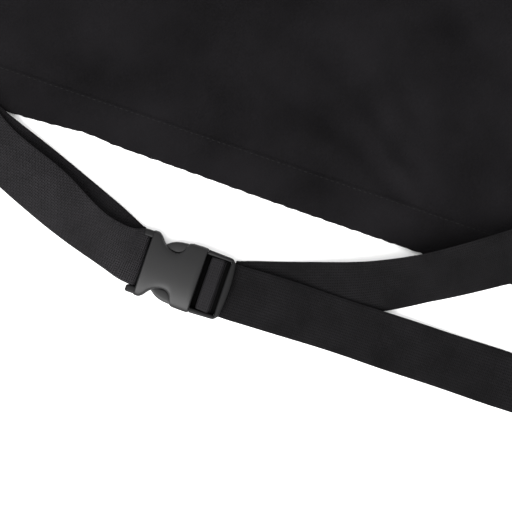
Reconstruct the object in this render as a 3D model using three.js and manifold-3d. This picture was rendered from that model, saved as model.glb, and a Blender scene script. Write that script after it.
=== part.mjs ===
// Artist smock apron, laid flat with the wearer's side up and the waist belt buckled.
// Millimetres, +Z up, +Y toward the bib, -X toward the side edge that the buckle lies beside.
// The group is placed so that the origin is the middle of its footprint, on the surface it lies on.
import * as THREE from 'three';
import { mergeVertices } from 'three/addons/utils/BufferGeometryUtils.js';
import Module from 'manifold-3d';

const wasm = await Module();
wasm.setup();

// ---------------------------------------------------------------- driving dimensions
const GAP = 0.3; // between pieces that touch

// cloth
const CLOTH = 0.6; // thickness of one layer
const SKIRT_WIDTH = 700;
const SKIRT_LENGTH = 660; // waist corner down to the bottom hem
const BIB_HEIGHT = 280; // waist corner up to the bib top
const BIB_WIDTH = 270;
const SIDE_HEM = 29;
const BOTTOM_HEM = 26;
const BIB_HEM = 34;
const BINDING = 10; // width of the tape that binds a raw edge, on each face
const TAPE = 0.4; // thickness of that tape
const ARM_FLAT = 0.16; // share of the armhole curve's control length spent leaving each corner

// pockets, on the outer face, which lies downward
const HAND_POCKET_WIDTH = 330;
const HAND_POCKET_HEIGHT = 200;
const HAND_POCKET_DROP = 95; // waist corner to the pocket's mouth
const CHEST_POCKET_WIDTH = 150;
const CHEST_POCKET_HEIGHT = 140;
const CHEST_POCKET_DROP = 75; // bib top to the pocket's mouth
const POCKET_CORNER = 18;

// waist belt
const BELT_WIDTH = 38;
const BELT_CUP = 1.6; // what the webbing loses in width where it cups to run through the buckle
const SLOT_BELT_WIDTH = BELT_WIDTH - BELT_CUP;
const BELT = 1.5; // webbing thickness
const PATCH_SIZE = 58; // reinforcing patch under each belt anchor
const PATCH = 0.5;
const FAR_ANCHOR_IN = 34; // belt anchor's middle, in from the far side edge
const FAR_ANCHOR_DROP = 64; // and down from the waist corner
const EDGE_CROSSING = 469; // where the belt's middle crosses the near side edge, below the waist corner
const CROSSING_ANGLE = 34; // belt to side edge at that crossing, degrees
const FOLD_REACH = 175; // crossing to the belt's diagonal fold
const FOLD_RUN = 32; // straight length on each side of the fold that belongs to it
const TAIL_LENGTH = 305; // free end beyond the plug's centre bar
const TAIL_TURN_BACK = 26; // sewn turn-back at its end

// side-release buckle: u runs from the tab's bar to the plug's end bar, v across, z up
const BUCKLE_DROP = 255; // waist corner to the socket's bar end
const BUCKLE_OUT = 66.3; // buckle's middle line, out from the near side edge
const BUCKLE_THICK = 12;
const SOCKET_LENGTH = 45.4;
const SLOT_CLEAR = 0.3; // webbing's edge to the plug's rail
const RAIL_INNER = SLOT_BELT_WIDTH / 2 + SLOT_CLEAR;
const RAIL_AT_MOUTH = 3.5; // rail's width beside the socket's mouth
const RAIL_AT_END = 2.9;
const SOCKET_SIDE = 2.9; // socket's side walls
const SOCKET_PLATE = 2.4; // face plates
const CAVITY_HALF = RAIL_INNER + 1;
const SOCKET_HALF = CAVITY_HALF + SOCKET_SIDE;
const CAVITY_START = 9.5;
const EAR = 3; // side arms of the socket that hold the tab's bar
const BAR_MIDDLE = 2.3;
const BAR_HALF = 1.2;
const BAR_RISE = 1.4; // half height of the tab's bar
const TAB_BEND = Math.hypot(BAR_HALF, BAR_RISE) + GAP + BELT / 2; // webbing's middle, turning round the bar
const FACE_START = BAR_MIDDLE + TAB_BEND + BELT / 2 + 0.45; // the socket's body, behind the bar
const WINDOW_MIDDLE = 24.5;
const WINDOW_HALF_LENGTH = 9.6;
const WINDOW_DEPTH = 8.8; // of each thumb window, in from the socket's side
const WAIST_HALF = SOCKET_HALF - WINDOW_DEPTH;
const PLUG_LENGTH = 21.5; // what stands out of the socket
const CENTRE_BAR = 6.2; // width of the bar the belt turns over
const CENTRE_BAR_MIDDLE = 8.4; // from the socket's mouth
const CENTRE_BAR_LOW = BUCKLE_THICK / 2 - 1.7;
const CENTRE_BAR_HIGH = BUCKLE_THICK / 2 + 1.3;
const END_BAR = 4.6;
const END_BAR_HIGH = BUCKLE_THICK - 1.2;
const END_BAR_LOW = END_BAR_HIGH - 3.5;
const PLUG_RUN = 0.3; // clearance of the plug inside the socket
const PLUG_BASE = 3.5; // length of the plug's root inside the mouth
const PLUG_LIP = 2.6; // low shelf of the plug between the socket's mouth and the belt's turn
const PLUG_LIP_HIGH = 1.9;
const PRONG_ARM = 2.6;
const PRONG_TIP = 13.2; // u of the prong's nose
const PAD_INSET = 1.4; // thumb pads stand this far in from the socket's sides
const PAD_HALF = SOCKET_HALF - PAD_INSET;
const TONGUE_HALF = 2.2;
const TONGUE_TIP = 14;

// neck strap
const NECK_WIDTH = 25;
const NECK = 1.2;
const NECK_ANCHOR_IN = 23; // strap's middle in from the bib's corner
const NECK_LAP = 42; // sewn length on the bib
const NECK_LEG = 178; // straight length above the bib before the arch
const RING_WIRE = 2.6;
const RING_REACH = 13; // bib top to the ring's near bar
const RING_LENGTH = 15;
const SLIDER_REACH = 92; // bib top to the slider's middle
const SLIDER_LENGTH = 19;
const SLIDER_BAR = 2.6;

// ---------------------------------------------------------------- finishes
const finish = (color, roughness) => new THREE.MeshStandardMaterial({ color, roughness, metalness: 0 });
const cloth = () => finish(0x1e1c1f, 0.85);
const tape = () => finish(0x242225, 0.8);
const webbing = () => finish(0x2b292c, 0.75);
const thread = () => finish(0x2a282b, 0.6);
const plastic = () => finish(0x2c2b2e, 0.38);

// ---------------------------------------------------------------- helpers
const apron = new THREE.Group();
const buckle = new THREE.Group();

function add(name, geometry, material, parent = apron) {
  const mesh = new THREE.Mesh(geometry, material);
  mesh.name = name;
  parent.add(mesh);
  return mesh;
}

function toSolid(geometry) {
  const bare = geometry.clone();
  bare.deleteAttribute('normal');
  bare.deleteAttribute('uv');
  const merged = mergeVertices(bare, 1e-4);
  return new wasm.Manifold(
    new wasm.Mesh({
      numProp: 3,
      vertProperties: new Float32Array(merged.attributes.position.array),
      triVerts: new Uint32Array(merged.index.array),
    }),
  );
}

function toGeometry(solid) {
  const mesh = solid.getMesh();
  const geometry = new THREE.BufferGeometry();
  geometry.setAttribute('position', new THREE.BufferAttribute(new Float32Array(mesh.vertProperties), 3));
  geometry.setIndex(new THREE.BufferAttribute(new Uint32Array(mesh.triVerts), 1));
  return geometry;
}

const joined = (first, ...rest) => toGeometry(rest.reduce((sum, g) => sum.add(toSolid(g)), toSolid(first)));
const cut = (first, ...rest) =>
  toGeometry(rest.reduce((left, g) => left.subtract(toSolid(g)), toSolid(first)));

// A plan outline raised from z = low to z = high.
function slab(outline, low, high) {
  const shape = outline instanceof THREE.Shape ? outline : new THREE.Shape(outline);
  const settings = { depth: high - low, bevelEnabled: false, curveSegments: 10 };
  const geometry = new THREE.ExtrudeGeometry(shape, settings);
  return geometry.translate(0, 0, low);
}

const at = (x, y) => new THREE.Vector2(x, y);

function box(x0, x1, y0, y1, z0, z1) {
  const geometry = new THREE.BoxGeometry(x1 - x0, y1 - y0, z1 - z0);
  return geometry.translate((x0 + x1) / 2, (y0 + y1) / 2, (z0 + z1) / 2);
}

// Webbing: a flat band carried along a side profile of [distance, height] points, over a plan route.
// width(distance) is its width there, and roll(distance), in radians, lifts the edge on the route's left.
function band(route, profile, width, thickness, roll = () => 0) {
  const length = route.getLength();
  const up = new THREE.Vector3(0, 0, 1);
  const positions = [];
  profile.forEach(([distance, height], i) => {
    const [d0, z0] = profile[Math.max(i - 1, 0)];
    const [d1, z1] = profile[Math.min(i + 1, profile.length - 1)];
    const run = Math.hypot(d1 - d0, z1 - z0);
    const share = THREE.MathUtils.clamp(distance / length, 0, 1);
    const forward = route.getTangentAt(share);
    const left = new THREE.Vector3().crossVectors(up, forward);
    const facing = forward.clone().multiplyScalar(-(z1 - z0) / run);
    facing.addScaledVector(up, (d1 - d0) / run);
    const turn = roll(distance);
    const across = left.clone().multiplyScalar(Math.cos(turn)).addScaledVector(facing, Math.sin(turn));
    const out = facing.clone().multiplyScalar(Math.cos(turn)).addScaledVector(left, -Math.sin(turn));
    const middle = route.getPointAt(share);
    middle.z += height;
    for (const [a, b] of [[1, -1], [1, 1], [-1, 1], [-1, -1]]) {
      const corner = middle.clone().addScaledVector(across, (a * width(distance)) / 2);
      corner.addScaledVector(out, (b * thickness) / 2);
      positions.push(corner.x, corner.y, corner.z);
    }
  });
  const faces = [];
  const last = 4 * (profile.length - 1);
  for (let base = 0; base < last; base += 4) {
    for (let side = 0; side < 4; side += 1) {
      const a = base + side;
      const b = base + ((side + 1) % 4);
      faces.push(a, b, b + 4, a, b + 4, a + 4);
    }
  }
  faces.push(0, 2, 1, 0, 3, 2, last, last + 1, last + 2, last, last + 2, last + 3);
  const geometry = new THREE.BufferGeometry();
  geometry.setAttribute('position', new THREE.BufferAttribute(new Float32Array(positions), 3));
  geometry.setIndex(faces);
  return geometry;
}

// Points of a smooth curve through a few chosen [distance, height] points.
function eased(points, steps) {
  const places = points.map(([d, z]) => new THREE.Vector3(d, z, 0));
  const curve = new THREE.CatmullRomCurve3(places, false, 'centripetal');
  return curve.getSpacedPoints(steps).map((p) => [p.x, p.y]);
}

// Part of a circle in the side profile, from one angle to another in degrees.
function bend(d, z, radius, from, to, steps = 8) {
  return Array.from({ length: steps + 1 }, (_, i) => {
    const angle = THREE.MathUtils.degToRad(from + ((to - from) * i) / steps);
    return [d + radius * Math.cos(angle), z + radius * Math.sin(angle)];
  });
}

// Straight-line interpolation of [distance, value] points, held level beyond the ends.
function along(points) {
  return (distance) => {
    const next = points.findIndex(([d]) => d >= distance);
    if (next === 0) return points[0][1];
    if (next < 0) return points[points.length - 1][1];
    const [d0, a] = points[next - 1];
    const [d1, b] = points[next];
    return a + ((b - a) * (distance - d0)) / (d1 - d0);
  };
}

// A place beside the near side edge: drop below the waist corner, and out from the edge.
const nearEdge = (drop, out) => new THREE.Vector3(-SKIRT_WIDTH / 2 - out, -drop, 0);
const routeThrough = (points) => new THREE.CatmullRomCurve3(points, false, 'centripetal');

// A row of stitching: thread along closed or open lines, seen as one raised flat figure.
function stitchedBox(length, width, low) {
  const line = 0.9;
  const half = [length / 2, width / 2];
  const corners = [
    at(-half[0], -half[1]), at(half[0], -half[1]), at(half[0], half[1]), at(-half[0], half[1])];
  const frame = slab(corners, low, low + THREAD);
  const hole = slab([
    at(-half[0] + line, -half[1] + line), at(half[0] - line, -half[1] + line),
    at(half[0] - line, half[1] - line), at(-half[0] + line, half[1] - line)], low - 1, low + 1 + THREAD);
  const diagonal = Math.hypot(length, width) - 2 * line;
  const slope = Math.atan2(width, length);
  const bars = [slope, -slope].map((angle) =>
    box(-diagonal / 2, diagonal / 2, -line / 2, line / 2, low, low + THREAD).rotateZ(angle));
  return joined(cut(frame, hole), ...bars);
}

// ---------------------------------------------------------------- heights of the flat layers
const THREAD = 0.4;
const POCKET_LOW = TAPE + GAP;
const POCKET_HIGH = POCKET_LOW + CLOTH;
const PANEL_LOW = POCKET_HIGH + GAP + TAPE + GAP;
const PANEL_HIGH = PANEL_LOW + CLOTH;
const HEM_HIGH = PANEL_HIGH + CLOTH;
const PATCH_LOW = HEM_HIGH + GAP;
const ANCHOR_LOW = PATCH_LOW + PATCH + GAP; // underside of webbing sewn on a patch
const ANCHOR_MIDDLE = ANCHOR_LOW + BELT / 2;
const LAYER = BELT + GAP; // one layer of webbing to the next
const BELT_FLOOR = BELT / 2 + 0.2; // webbing's middle height where it lies on the surface below

// ---------------------------------------------------------------- apron panel
const HALF = SKIRT_WIDTH / 2;
const BIB_HALF = BIB_WIDTH / 2;

// Armhole edge from the waist corner to the bib corner, moved by offset toward the open side.
function armhole(side, offset, reverse = false) {
  const reach = HALF - BIB_HALF;
  const curve = new THREE.CubicBezierCurve(
    at(HALF, 0),
    at(HALF - reach * (1 - ARM_FLAT), BIB_HEIGHT * ARM_FLAT),
    at(BIB_HALF + reach * ARM_FLAT, BIB_HEIGHT * (1 - 3 * ARM_FLAT)),
    at(BIB_HALF, BIB_HEIGHT),
  );
  const steps = 22;
  const points = Array.from({ length: steps + 1 }, (_, i) => {
    const p = curve.getPoint(i / steps);
    const t = curve.getTangent(i / steps);
    return at(side * (p.x + t.y * offset), p.y - t.x * offset);
  });
  return reverse ? points.reverse() : points;
}

function panel() {
  const bottomEdge = [at(-HALF, -SKIRT_LENGTH), at(HALF, -SKIRT_LENGTH)];
  const outline = [...bottomEdge, ...armhole(1, 0), ...armhole(-1, 0, true)];
  const hemLow = PANEL_HIGH - CLOTH / 2;
  const near = box(-HALF, -HALF + SIDE_HEM, -SKIRT_LENGTH, -BINDING, hemLow, HEM_HIGH);
  const far = box(HALF - SIDE_HEM, HALF, -SKIRT_LENGTH, -BINDING, hemLow, HEM_HIGH);
  const bottom = box(-HALF, HALF, -SKIRT_LENGTH, -SKIRT_LENGTH + BOTTOM_HEM, hemLow, HEM_HIGH);
  const topHalf = BIB_HALF - BINDING;
  const top = box(-topHalf, topHalf, BIB_HEIGHT - BIB_HEM, BIB_HEIGHT, hemLow, HEM_HIGH);
  return joined(slab(outline, PANEL_LOW, PANEL_HIGH), near, far, bottom, top);
}
add('apron_panel', panel(), cloth());

// Tape folded over the armhole's raw edge: a channel that holds the edge of the panel.
function armholeBinding(side) {
  const sweep = (inner, outer) => [...armhole(side, outer), ...armhole(side, -inner, true)];
  const whole = slab(sweep(BINDING, GAP + TAPE), PANEL_LOW - GAP - TAPE, PANEL_HIGH + GAP + TAPE);
  const channel = slab(sweep(BINDING + 1, GAP), PANEL_LOW - GAP, PANEL_HIGH + GAP);
  const corner = box(-HALF - 9, HALF + 9, -BINDING, BINDING / 2, PANEL_LOW - 9, HEM_HIGH + 9);
  const bibTop = box(-HALF, HALF, BIB_HEIGHT - 3, BIB_HEIGHT + 9, PANEL_LOW - 9, HEM_HIGH + 9);
  return cut(whole, channel, corner, bibTop);
}
add('armhole_binding_near', armholeBinding(-1), tape());
add('armhole_binding_far', armholeBinding(1), tape());

// ---------------------------------------------------------------- pockets
function pocketOutline(width, height, mouth) {
  const half = width / 2;
  const low = mouth - height;
  return [
    at(-half, mouth), at(-half, low + POCKET_CORNER), at(-half + POCKET_CORNER, low),
    at(half - POCKET_CORNER, low), at(half, low + POCKET_CORNER), at(half, mouth)];
}

function pocket(name, width, height, mouth) {
  add(name, slab(pocketOutline(width, height, mouth), POCKET_LOW, POCKET_HIGH), cloth());
  const half = width / 2;
  const whole = box(-half, half, mouth - BINDING, mouth + GAP + TAPE, 0, POCKET_HIGH + GAP + TAPE);
  const [low, high] = [POCKET_LOW - GAP, POCKET_HIGH + GAP];
  const channel = box(-half - 1, half + 1, mouth - BINDING - 1, mouth + GAP, low, high);
  add(`${name}_binding`, cut(whole, channel), tape());
}
pocket('hand_pocket', HAND_POCKET_WIDTH, HAND_POCKET_HEIGHT, -HAND_POCKET_DROP);
pocket('chest_pocket', CHEST_POCKET_WIDTH, CHEST_POCKET_HEIGHT, BIB_HEIGHT - CHEST_POCKET_DROP);

// ---------------------------------------------------------------- tab that holds the buckle's socket
const BAR_HEIGHT = BUCKLE_THICK / 2;
const tabRoute = routeThrough([
  nearEdge(36, -46), nearEdge(60, -27), nearEdge(86, -8), nearEdge(112, 8.5), nearEdge(152, 28),
  nearEdge(192, 44), nearEdge(228, 57.6), nearEdge(BUCKLE_DROP - 9, BUCKLE_OUT - 1),
  nearEdge(BUCKLE_DROP - 3, BUCKLE_OUT), nearEdge(BUCKLE_DROP, BUCKLE_OUT),
  nearEdge(BUCKLE_DROP + BAR_MIDDLE + TAB_BEND + BELT, BUCKLE_OUT)]);

function tabStrap() {
  const turn = tabRoute.getLength() - TAB_BEND - BELT;
  const low = ANCHOR_MIDDLE;
  const high = low + LAYER;
  const bar = [BAR_HEIGHT - TAB_BEND, BAR_HEIGHT + TAB_BEND];
  const lower = eased([
    [0, low], [64, low], [96, low - 0.4], [124, low - 0.6], [150, 2.6], [176, 1.7], [turn - 22, 2.4],
    [turn - 3, bar[0]], [turn, bar[0]]], 36);
  const upper = eased([
    [turn, bar[1]], [turn - 3, bar[1]], [turn - 30, 9.2], [170, 9.4], [130, 8.6],
    [96, high + 0.6], [64, high], [0, high]], 36);
  const profile = [...lower, ...bend(turn, BAR_HEIGHT, TAB_BEND, -78, 78, 8), ...upper];
  const width = along([[turn - 40, BELT_WIDTH], [turn - 12, SLOT_BELT_WIDTH]]);
  return band(tabRoute, profile, width, BELT);
}
add('socket_tab', tabStrap(), webbing());

const tabAnchor = tabRoute.getPointAt(30 / tabRoute.getLength());
const tabHeading = tabRoute.getTangentAt(30 / tabRoute.getLength());
const tabAngle = Math.atan2(tabHeading.y, tabHeading.x);
const PATCH_HALF = PATCH_SIZE / 2;
const patchBox = () => box(-PATCH_HALF, PATCH_HALF, -PATCH_HALF, PATCH_HALF, PATCH_LOW, PATCH_LOW + PATCH);
const nearPatch = add('near_anchor_patch', patchBox(), cloth());
nearPatch.position.set(-HALF + PATCH_SIZE / 2 + 2, tabAnchor.y, 0);
const tabTop = ANCHOR_MIDDLE + LAYER + BELT / 2;
const tabStitch = add('tab_stitching', stitchedBox(34, 30, tabTop + GAP), thread());
tabStitch.position.set(tabAnchor.x, tabAnchor.y, 0);
tabStitch.rotation.z = tabAngle;

// ---------------------------------------------------------------- buckle
buckle.position.copy(nearEdge(BUCKLE_DROP, BUCKLE_OUT));
buckle.rotation.z = -Math.PI / 2;
apron.add(buckle);

// Plan outline of the socket: ears round the bar, concave thumb windows, a straight mouth.
function socketOutline(half) {
  const shape = new THREE.Shape();
  const [from, to] = [WINDOW_MIDDLE - WINDOW_HALF_LENGTH, WINDOW_MIDDLE + WINDOW_HALF_LENGTH];
  const waist = WAIST_HALF - (SOCKET_HALF - half);
  shape.moveTo(0.8, -half + 1.2);
  shape.quadraticCurveTo(1.2, -half, 3, -half);
  for (const side of [-1, 1]) {
    const [a, b] = side < 0 ? [from, to] : [to, from];
    shape.lineTo(a + side * 3.4, side * half);
    const notch = side * waist;
    const face = side * half;
    shape.bezierCurveTo(a + side * 0.4, face, a - side * 0.6, notch, a - side * 6.2, notch);
    shape.lineTo(b + side * 6.2, side * waist);
    shape.bezierCurveTo(b + side * 0.6, notch, b - side * 0.4, face, b - side * 3.4, face);
    if (side < 0) shape.lineTo(SOCKET_LENGTH, -half);
    if (side < 0) shape.lineTo(SOCKET_LENGTH, half);
  }
  shape.lineTo(3, half);
  shape.quadraticCurveTo(1.2, half, 0.8, half - 1.2);
  shape.closePath();
  return shape;
}

function socket() {
  const edge = 1.3; // step that rounds the faces toward the sides
  const body = slab(socketOutline(SOCKET_HALF), edge, BUCKLE_THICK - edge);
  const faces = slab(socketOutline(SOCKET_HALF - edge), 0, BUCKLE_THICK);
  const cavity = box(
    CAVITY_START, SOCKET_LENGTH + 1, -CAVITY_HALF, CAVITY_HALF, SOCKET_PLATE, BUCKLE_THICK - SOCKET_PLATE);
  const windowHalf = WINDOW_HALF_LENGTH - 0.6;
  const windows = box(
    WINDOW_MIDDLE - windowHalf, WINDOW_MIDDLE + windowHalf, -SOCKET_HALF - 1, SOCKET_HALF + 1,
    SOCKET_PLATE, BUCKLE_THICK - SOCKET_PLATE);
  const earGap = box(-1, FACE_START, -SOCKET_HALF + EAR, SOCKET_HALF - EAR, -1, BUCKLE_THICK + 1);
  const shell = cut(joined(body, faces), cavity, windows, earGap);
  const bar = box(
    BAR_MIDDLE - BAR_HALF, BAR_MIDDLE + BAR_HALF, -SOCKET_HALF + EAR / 2, SOCKET_HALF - EAR / 2,
    BAR_HEIGHT - BAR_RISE, BAR_HEIGHT + BAR_RISE);
  return joined(shell, bar);
}
add('buckle_socket', socket(), plastic(), buckle);

const PLUG_LOW = SOCKET_PLATE + PLUG_RUN;
const PLUG_HIGH = BUCKLE_THICK - SOCKET_PLATE - PLUG_RUN;
const BASE_HALF = CAVITY_HALF - PLUG_RUN;
const PLUG_END = SOCKET_LENGTH + PLUG_LENGTH;
const BAR_U = SOCKET_LENGTH + CENTRE_BAR_MIDDLE;

function plugFrame() {
  const rails = [-1, 1].map((side) =>
    slab(
      [
        at(SOCKET_LENGTH - 1, side * (RAIL_INNER - 0.4)), at(SOCKET_LENGTH - 1, side * BASE_HALF),
        at(SOCKET_LENGTH + 0.5, side * BASE_HALF),
        at(SOCKET_LENGTH + 0.5, side * (RAIL_INNER + RAIL_AT_MOUTH)),
        at(PLUG_END - 2.4, side * (RAIL_INNER + RAIL_AT_END)), at(PLUG_END - 0.6, side * RAIL_INNER),
        at(SOCKET_LENGTH + 3, side * RAIL_INNER)],
      PLUG_LOW, PLUG_HIGH));
  const root = [SOCKET_LENGTH - PLUG_BASE, SOCKET_LENGTH - 0.2];
  const base = box(...root, -BASE_HALF, BASE_HALF, PLUG_LOW, PLUG_HIGH);
  const lip = box(
    SOCKET_LENGTH - 1, SOCKET_LENGTH + PLUG_LIP, -RAIL_INNER - 0.2, RAIL_INNER + 0.2,
    PLUG_LOW, PLUG_LOW + PLUG_LIP_HIGH);
  const tongue = box(TONGUE_TIP, SOCKET_LENGTH - 1, -TONGUE_HALF, TONGUE_HALF, PLUG_LOW, PLUG_HIGH);
  const centreBar = box(
    BAR_U - CENTRE_BAR / 2, BAR_U + CENTRE_BAR / 2, -RAIL_INNER - 0.5, RAIL_INNER + 0.5,
    CENTRE_BAR_LOW, CENTRE_BAR_HIGH);
  const end = RAIL_INNER + RAIL_AT_END;
  const endBar = slab(
    [
      at(PLUG_END - END_BAR, -end), at(PLUG_END - 1.6, -end),
      at(PLUG_END - 0.4, -end / 2), at(PLUG_END, 0), at(PLUG_END - 0.4, end / 2),
      at(PLUG_END - 1.6, end), at(PLUG_END - END_BAR, end)],
    END_BAR_LOW, END_BAR_HIGH);
  return joined(base, ...rails, lip, tongue, centreBar, endBar);
}
add('plug_frame', plugFrame(), plastic(), buckle);

// A sprung arm with a thumb pad that fills the socket's window and hooks behind its mouth wall.
const PRONG_ROOT = SOCKET_LENGTH - PLUG_BASE - GAP;
const PAD_HEEL = WINDOW_MIDDLE + WINDOW_HALF_LENGTH - 0.6 - 2 * GAP;
function prong(side) {
  const inner = BASE_HALF - PRONG_ARM - 1;
  const shape = new THREE.Shape();
  shape.moveTo(PRONG_ROOT, side * inner);
  shape.lineTo(PRONG_ROOT, side * (BASE_HALF - 1));
  shape.lineTo(PAD_HEEL, side * (BASE_HALF - 1));
  shape.lineTo(PAD_HEEL, side * (PAD_HALF - 0.4));
  shape.bezierCurveTo(
    PAD_HEEL - 5, side * (PAD_HALF + 0.3), PRONG_TIP + 8, side * (PAD_HALF + 0.5),
    PRONG_TIP + 2.6, side * (BASE_HALF - 2));
  shape.lineTo(PRONG_TIP, side * (BASE_HALF - 5));
  shape.lineTo(PRONG_TIP, side * (inner - 2.4));
  shape.lineTo(PAD_HEEL - 7, side * (inner - 1.6));
  shape.lineTo(PAD_HEEL, side * inner);
  shape.closePath();
  return slab(shape, PLUG_LOW + 0.2, PLUG_HIGH - 0.2);
}
add('prong_cloth_side', prong(1), plastic(), buckle);
add('prong_outer_side', prong(-1), plastic(), buckle);

// ---------------------------------------------------------------- waist belt through the plug
const BELT_END_U = BAR_U + CENTRE_BAR / 2 + 3.2; // the plug's own piece of belt ends here, under the slot
const LOWER_RUN = CENTRE_BAR_LOW - 0.55 - BELT / 2;
const OVER_BAR = CENTRE_BAR_HIGH + 0.35 + BELT / 2;
const UNDER_END_BAR = END_BAR_LOW - 0.45 - BELT / 2;
const SIDE_RUN = CENTRE_BAR / 2 + 0.45 + BELT / 2; // vertical runs of webbing, out from the bar's middle
const TURN_RADIUS = 1.3;

function beltTurn() {
  const left = BAR_U - SIDE_RUN;
  const right = BAR_U + SIDE_RUN;
  const profile = [
    [BELT_END_U, LOWER_RUN], [left + TURN_RADIUS + 2, LOWER_RUN],
    ...bend(left + TURN_RADIUS, LOWER_RUN + TURN_RADIUS, TURN_RADIUS, 270, 180, 5),
    ...bend(left + TURN_RADIUS, OVER_BAR - TURN_RADIUS, TURN_RADIUS, 180, 90, 5),
    ...bend(right - TURN_RADIUS, OVER_BAR - TURN_RADIUS, TURN_RADIUS, 90, 10, 5),
    [BELT_END_U - 1, UNDER_END_BAR + 0.1], [BELT_END_U, UNDER_END_BAR]];
  const route = new THREE.LineCurve3(new THREE.Vector3(0, 0, 0), new THREE.Vector3(PLUG_END + 10, 0, 0));
  return band(route, profile, () => SLOT_BELT_WIDTH, BELT);
}
add('belt_turn', beltTurn(), webbing(), buckle);

const BELT_START = BUCKLE_DROP + BELT_END_U + GAP;
const TAIL_DROP = BELT_START + TAIL_LENGTH;
const RAIL_CLEAR = 8; // straight run between the plug's rails, where the webbing is cupped narrower
const beltWidth = along([[RAIL_CLEAR, SLOT_BELT_WIDTH], [RAIL_CLEAR + 14, BELT_WIDTH]]);
const crossing = THREE.MathUtils.degToRad(CROSSING_ANGLE);
const pastCrossing = (distance) =>
  nearEdge(EDGE_CROSSING + distance * Math.cos(crossing), -distance * Math.sin(crossing));

// From the plug to the cloth, twisting so that the edge toward the bib lifts as it rises over the hem.
const SEAM = 80; // where this run of the belt ends, beyond the crossing
const nearRoute = routeThrough([
  nearEdge(BELT_START, BUCKLE_OUT), nearEdge(BELT_START + RAIL_CLEAR, BUCKLE_OUT), nearEdge(342, 60.5),
  nearEdge(374, 49), nearEdge(410, 34), nearEdge(446, 14.5), pastCrossing(0), pastCrossing(SEAM / 2),
  pastCrossing(SEAM), pastCrossing(FOLD_REACH - FOLD_RUN - GAP)]);
const nearLength = nearRoute.getLength();
const seamAt = nearLength - (FOLD_REACH - FOLD_RUN - GAP - SEAM);
const FOLD_LOW = HEM_HIGH + GAP + BELT / 2;
const beltRoll = along([
  [0, 0], [40, 0], [72, 0.14], [102, 0.34], [140, 0.48], [172, 0.44], [seamAt - 36, 0.4], [seamAt, 0.3],
  [nearLength - 14, 0], [nearLength, 0]]);
// The middle of the rolled webbing stands as high as its lower edge needs.
const rolled = (distance, edge) => [distance, edge + (BELT_WIDTH / 2) * Math.sin(beltRoll(distance))];
const beltHeight = [
  [0, LOWER_RUN], [RAIL_CLEAR, LOWER_RUN], [26, 1.9], [48, 2.2], rolled(72, 1.55), rolled(102, 1.46),
  rolled(140, 1.83), rolled(172, 4.51), rolled(seamAt - 36, 5.2), rolled(seamAt, 5.79),
  [nearLength, FOLD_LOW + LAYER]];

function nearBelt(from, to) {
  const whole = eased(beltHeight, 70);
  return whole.filter(([d]) => d >= from && d <= to);
}
add('belt_near_plug', band(nearRoute, nearBelt(0, seamAt - GAP), beltWidth, BELT, beltRoll), webbing());
add('belt_over_skirt', band(nearRoute, nearBelt(seamAt, nearLength), beltWidth, BELT, beltRoll), webbing());

// Diagonal fold: the belt doubles back over itself and heads for the far anchor.
const foldPoint = pastCrossing(FOLD_REACH);
const farAnchor = new THREE.Vector3(HALF - FAR_ANCHOR_IN, -FAR_ANCHOR_DROP, 0);
const toPlug = new THREE.Vector3(-Math.sin(crossing), Math.cos(crossing), 0);
const toAnchor = farAnchor.clone().sub(foldPoint).normalize();

function foldGeometry() {
  const crease = toPlug.clone().sub(toAnchor).normalize();
  const outward = toPlug.clone().add(toAnchor).normalize().negate();
  const creaseHalf = BELT_WIDTH / 2 / Math.abs(crease.x * toAnchor.y - crease.y * toAnchor.x);
  const flap = (heading, low) => {
    const side = new THREE.Vector3(-heading.y, heading.x, 0);
    const sign = Math.sign(side.dot(crease));
    const corner = (length, across) =>
      foldPoint.clone().addScaledVector(heading, length).addScaledVector(side, (across * BELT_WIDTH) / 2);
    const onCrease = (across) => foldPoint.clone().addScaledVector(crease, across * sign * creaseHalf);
    const points = [onCrease(-1), corner(FOLD_RUN, -1), corner(FOLD_RUN, 1), onCrease(1)];
    return slab(points.map((p) => at(p.x, p.y)), low, low + BELT);
  };
  const low = FOLD_LOW - BELT / 2;
  const ring = new THREE.Shape();
  ring.absarc(0, 0, BELT + GAP / 2, -Math.PI / 2, Math.PI / 2, false);
  ring.absarc(0, 0, GAP / 2, Math.PI / 2, -Math.PI / 2, true);
  const settings = { depth: 2 * creaseHalf, bevelEnabled: false, curveSegments: 8 };
  const turn = new THREE.ExtrudeGeometry(ring, settings);
  turn.translate(-0.05, 0, -creaseHalf);
  const along3 = new THREE.Vector3().crossVectors(outward, new THREE.Vector3(0, 0, 1));
  turn.applyMatrix4(new THREE.Matrix4().makeBasis(outward, new THREE.Vector3(0, 0, 1), along3));
  turn.translate(foldPoint.x, foldPoint.y, low + BELT + GAP / 2);
  return joined(flap(toAnchor, low), turn, flap(toPlug, low + LAYER));
}
add('belt_fold', foldGeometry(), webbing());

function farRun() {
  const start = foldPoint.clone().addScaledVector(toAnchor, FOLD_RUN + GAP);
  const end = farAnchor.clone().addScaledVector(toAnchor, PATCH_SIZE / 2 - 6);
  const route = new THREE.LineCurve3(start, end);
  const length = route.getLength();
  const profile = eased([
    [0, FOLD_LOW], [60, FOLD_LOW], [length - 130, FOLD_LOW],
    [length - 80, ANCHOR_MIDDLE], [length, ANCHOR_MIDDLE]], 24);
  return band(route, profile, () => BELT_WIDTH, BELT);
}
add('belt_far_run', farRun(), webbing());
const farPatch = add('far_anchor_patch', patchBox(), cloth());
farPatch.position.copy(farAnchor);
const farStitch = add('belt_stitching', stitchedBox(32, 32, ANCHOR_MIDDLE + BELT / 2 + GAP), thread());
farStitch.position.copy(farAnchor);
farStitch.rotation.z = Math.atan2(toAnchor.y, toAnchor.x);

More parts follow.
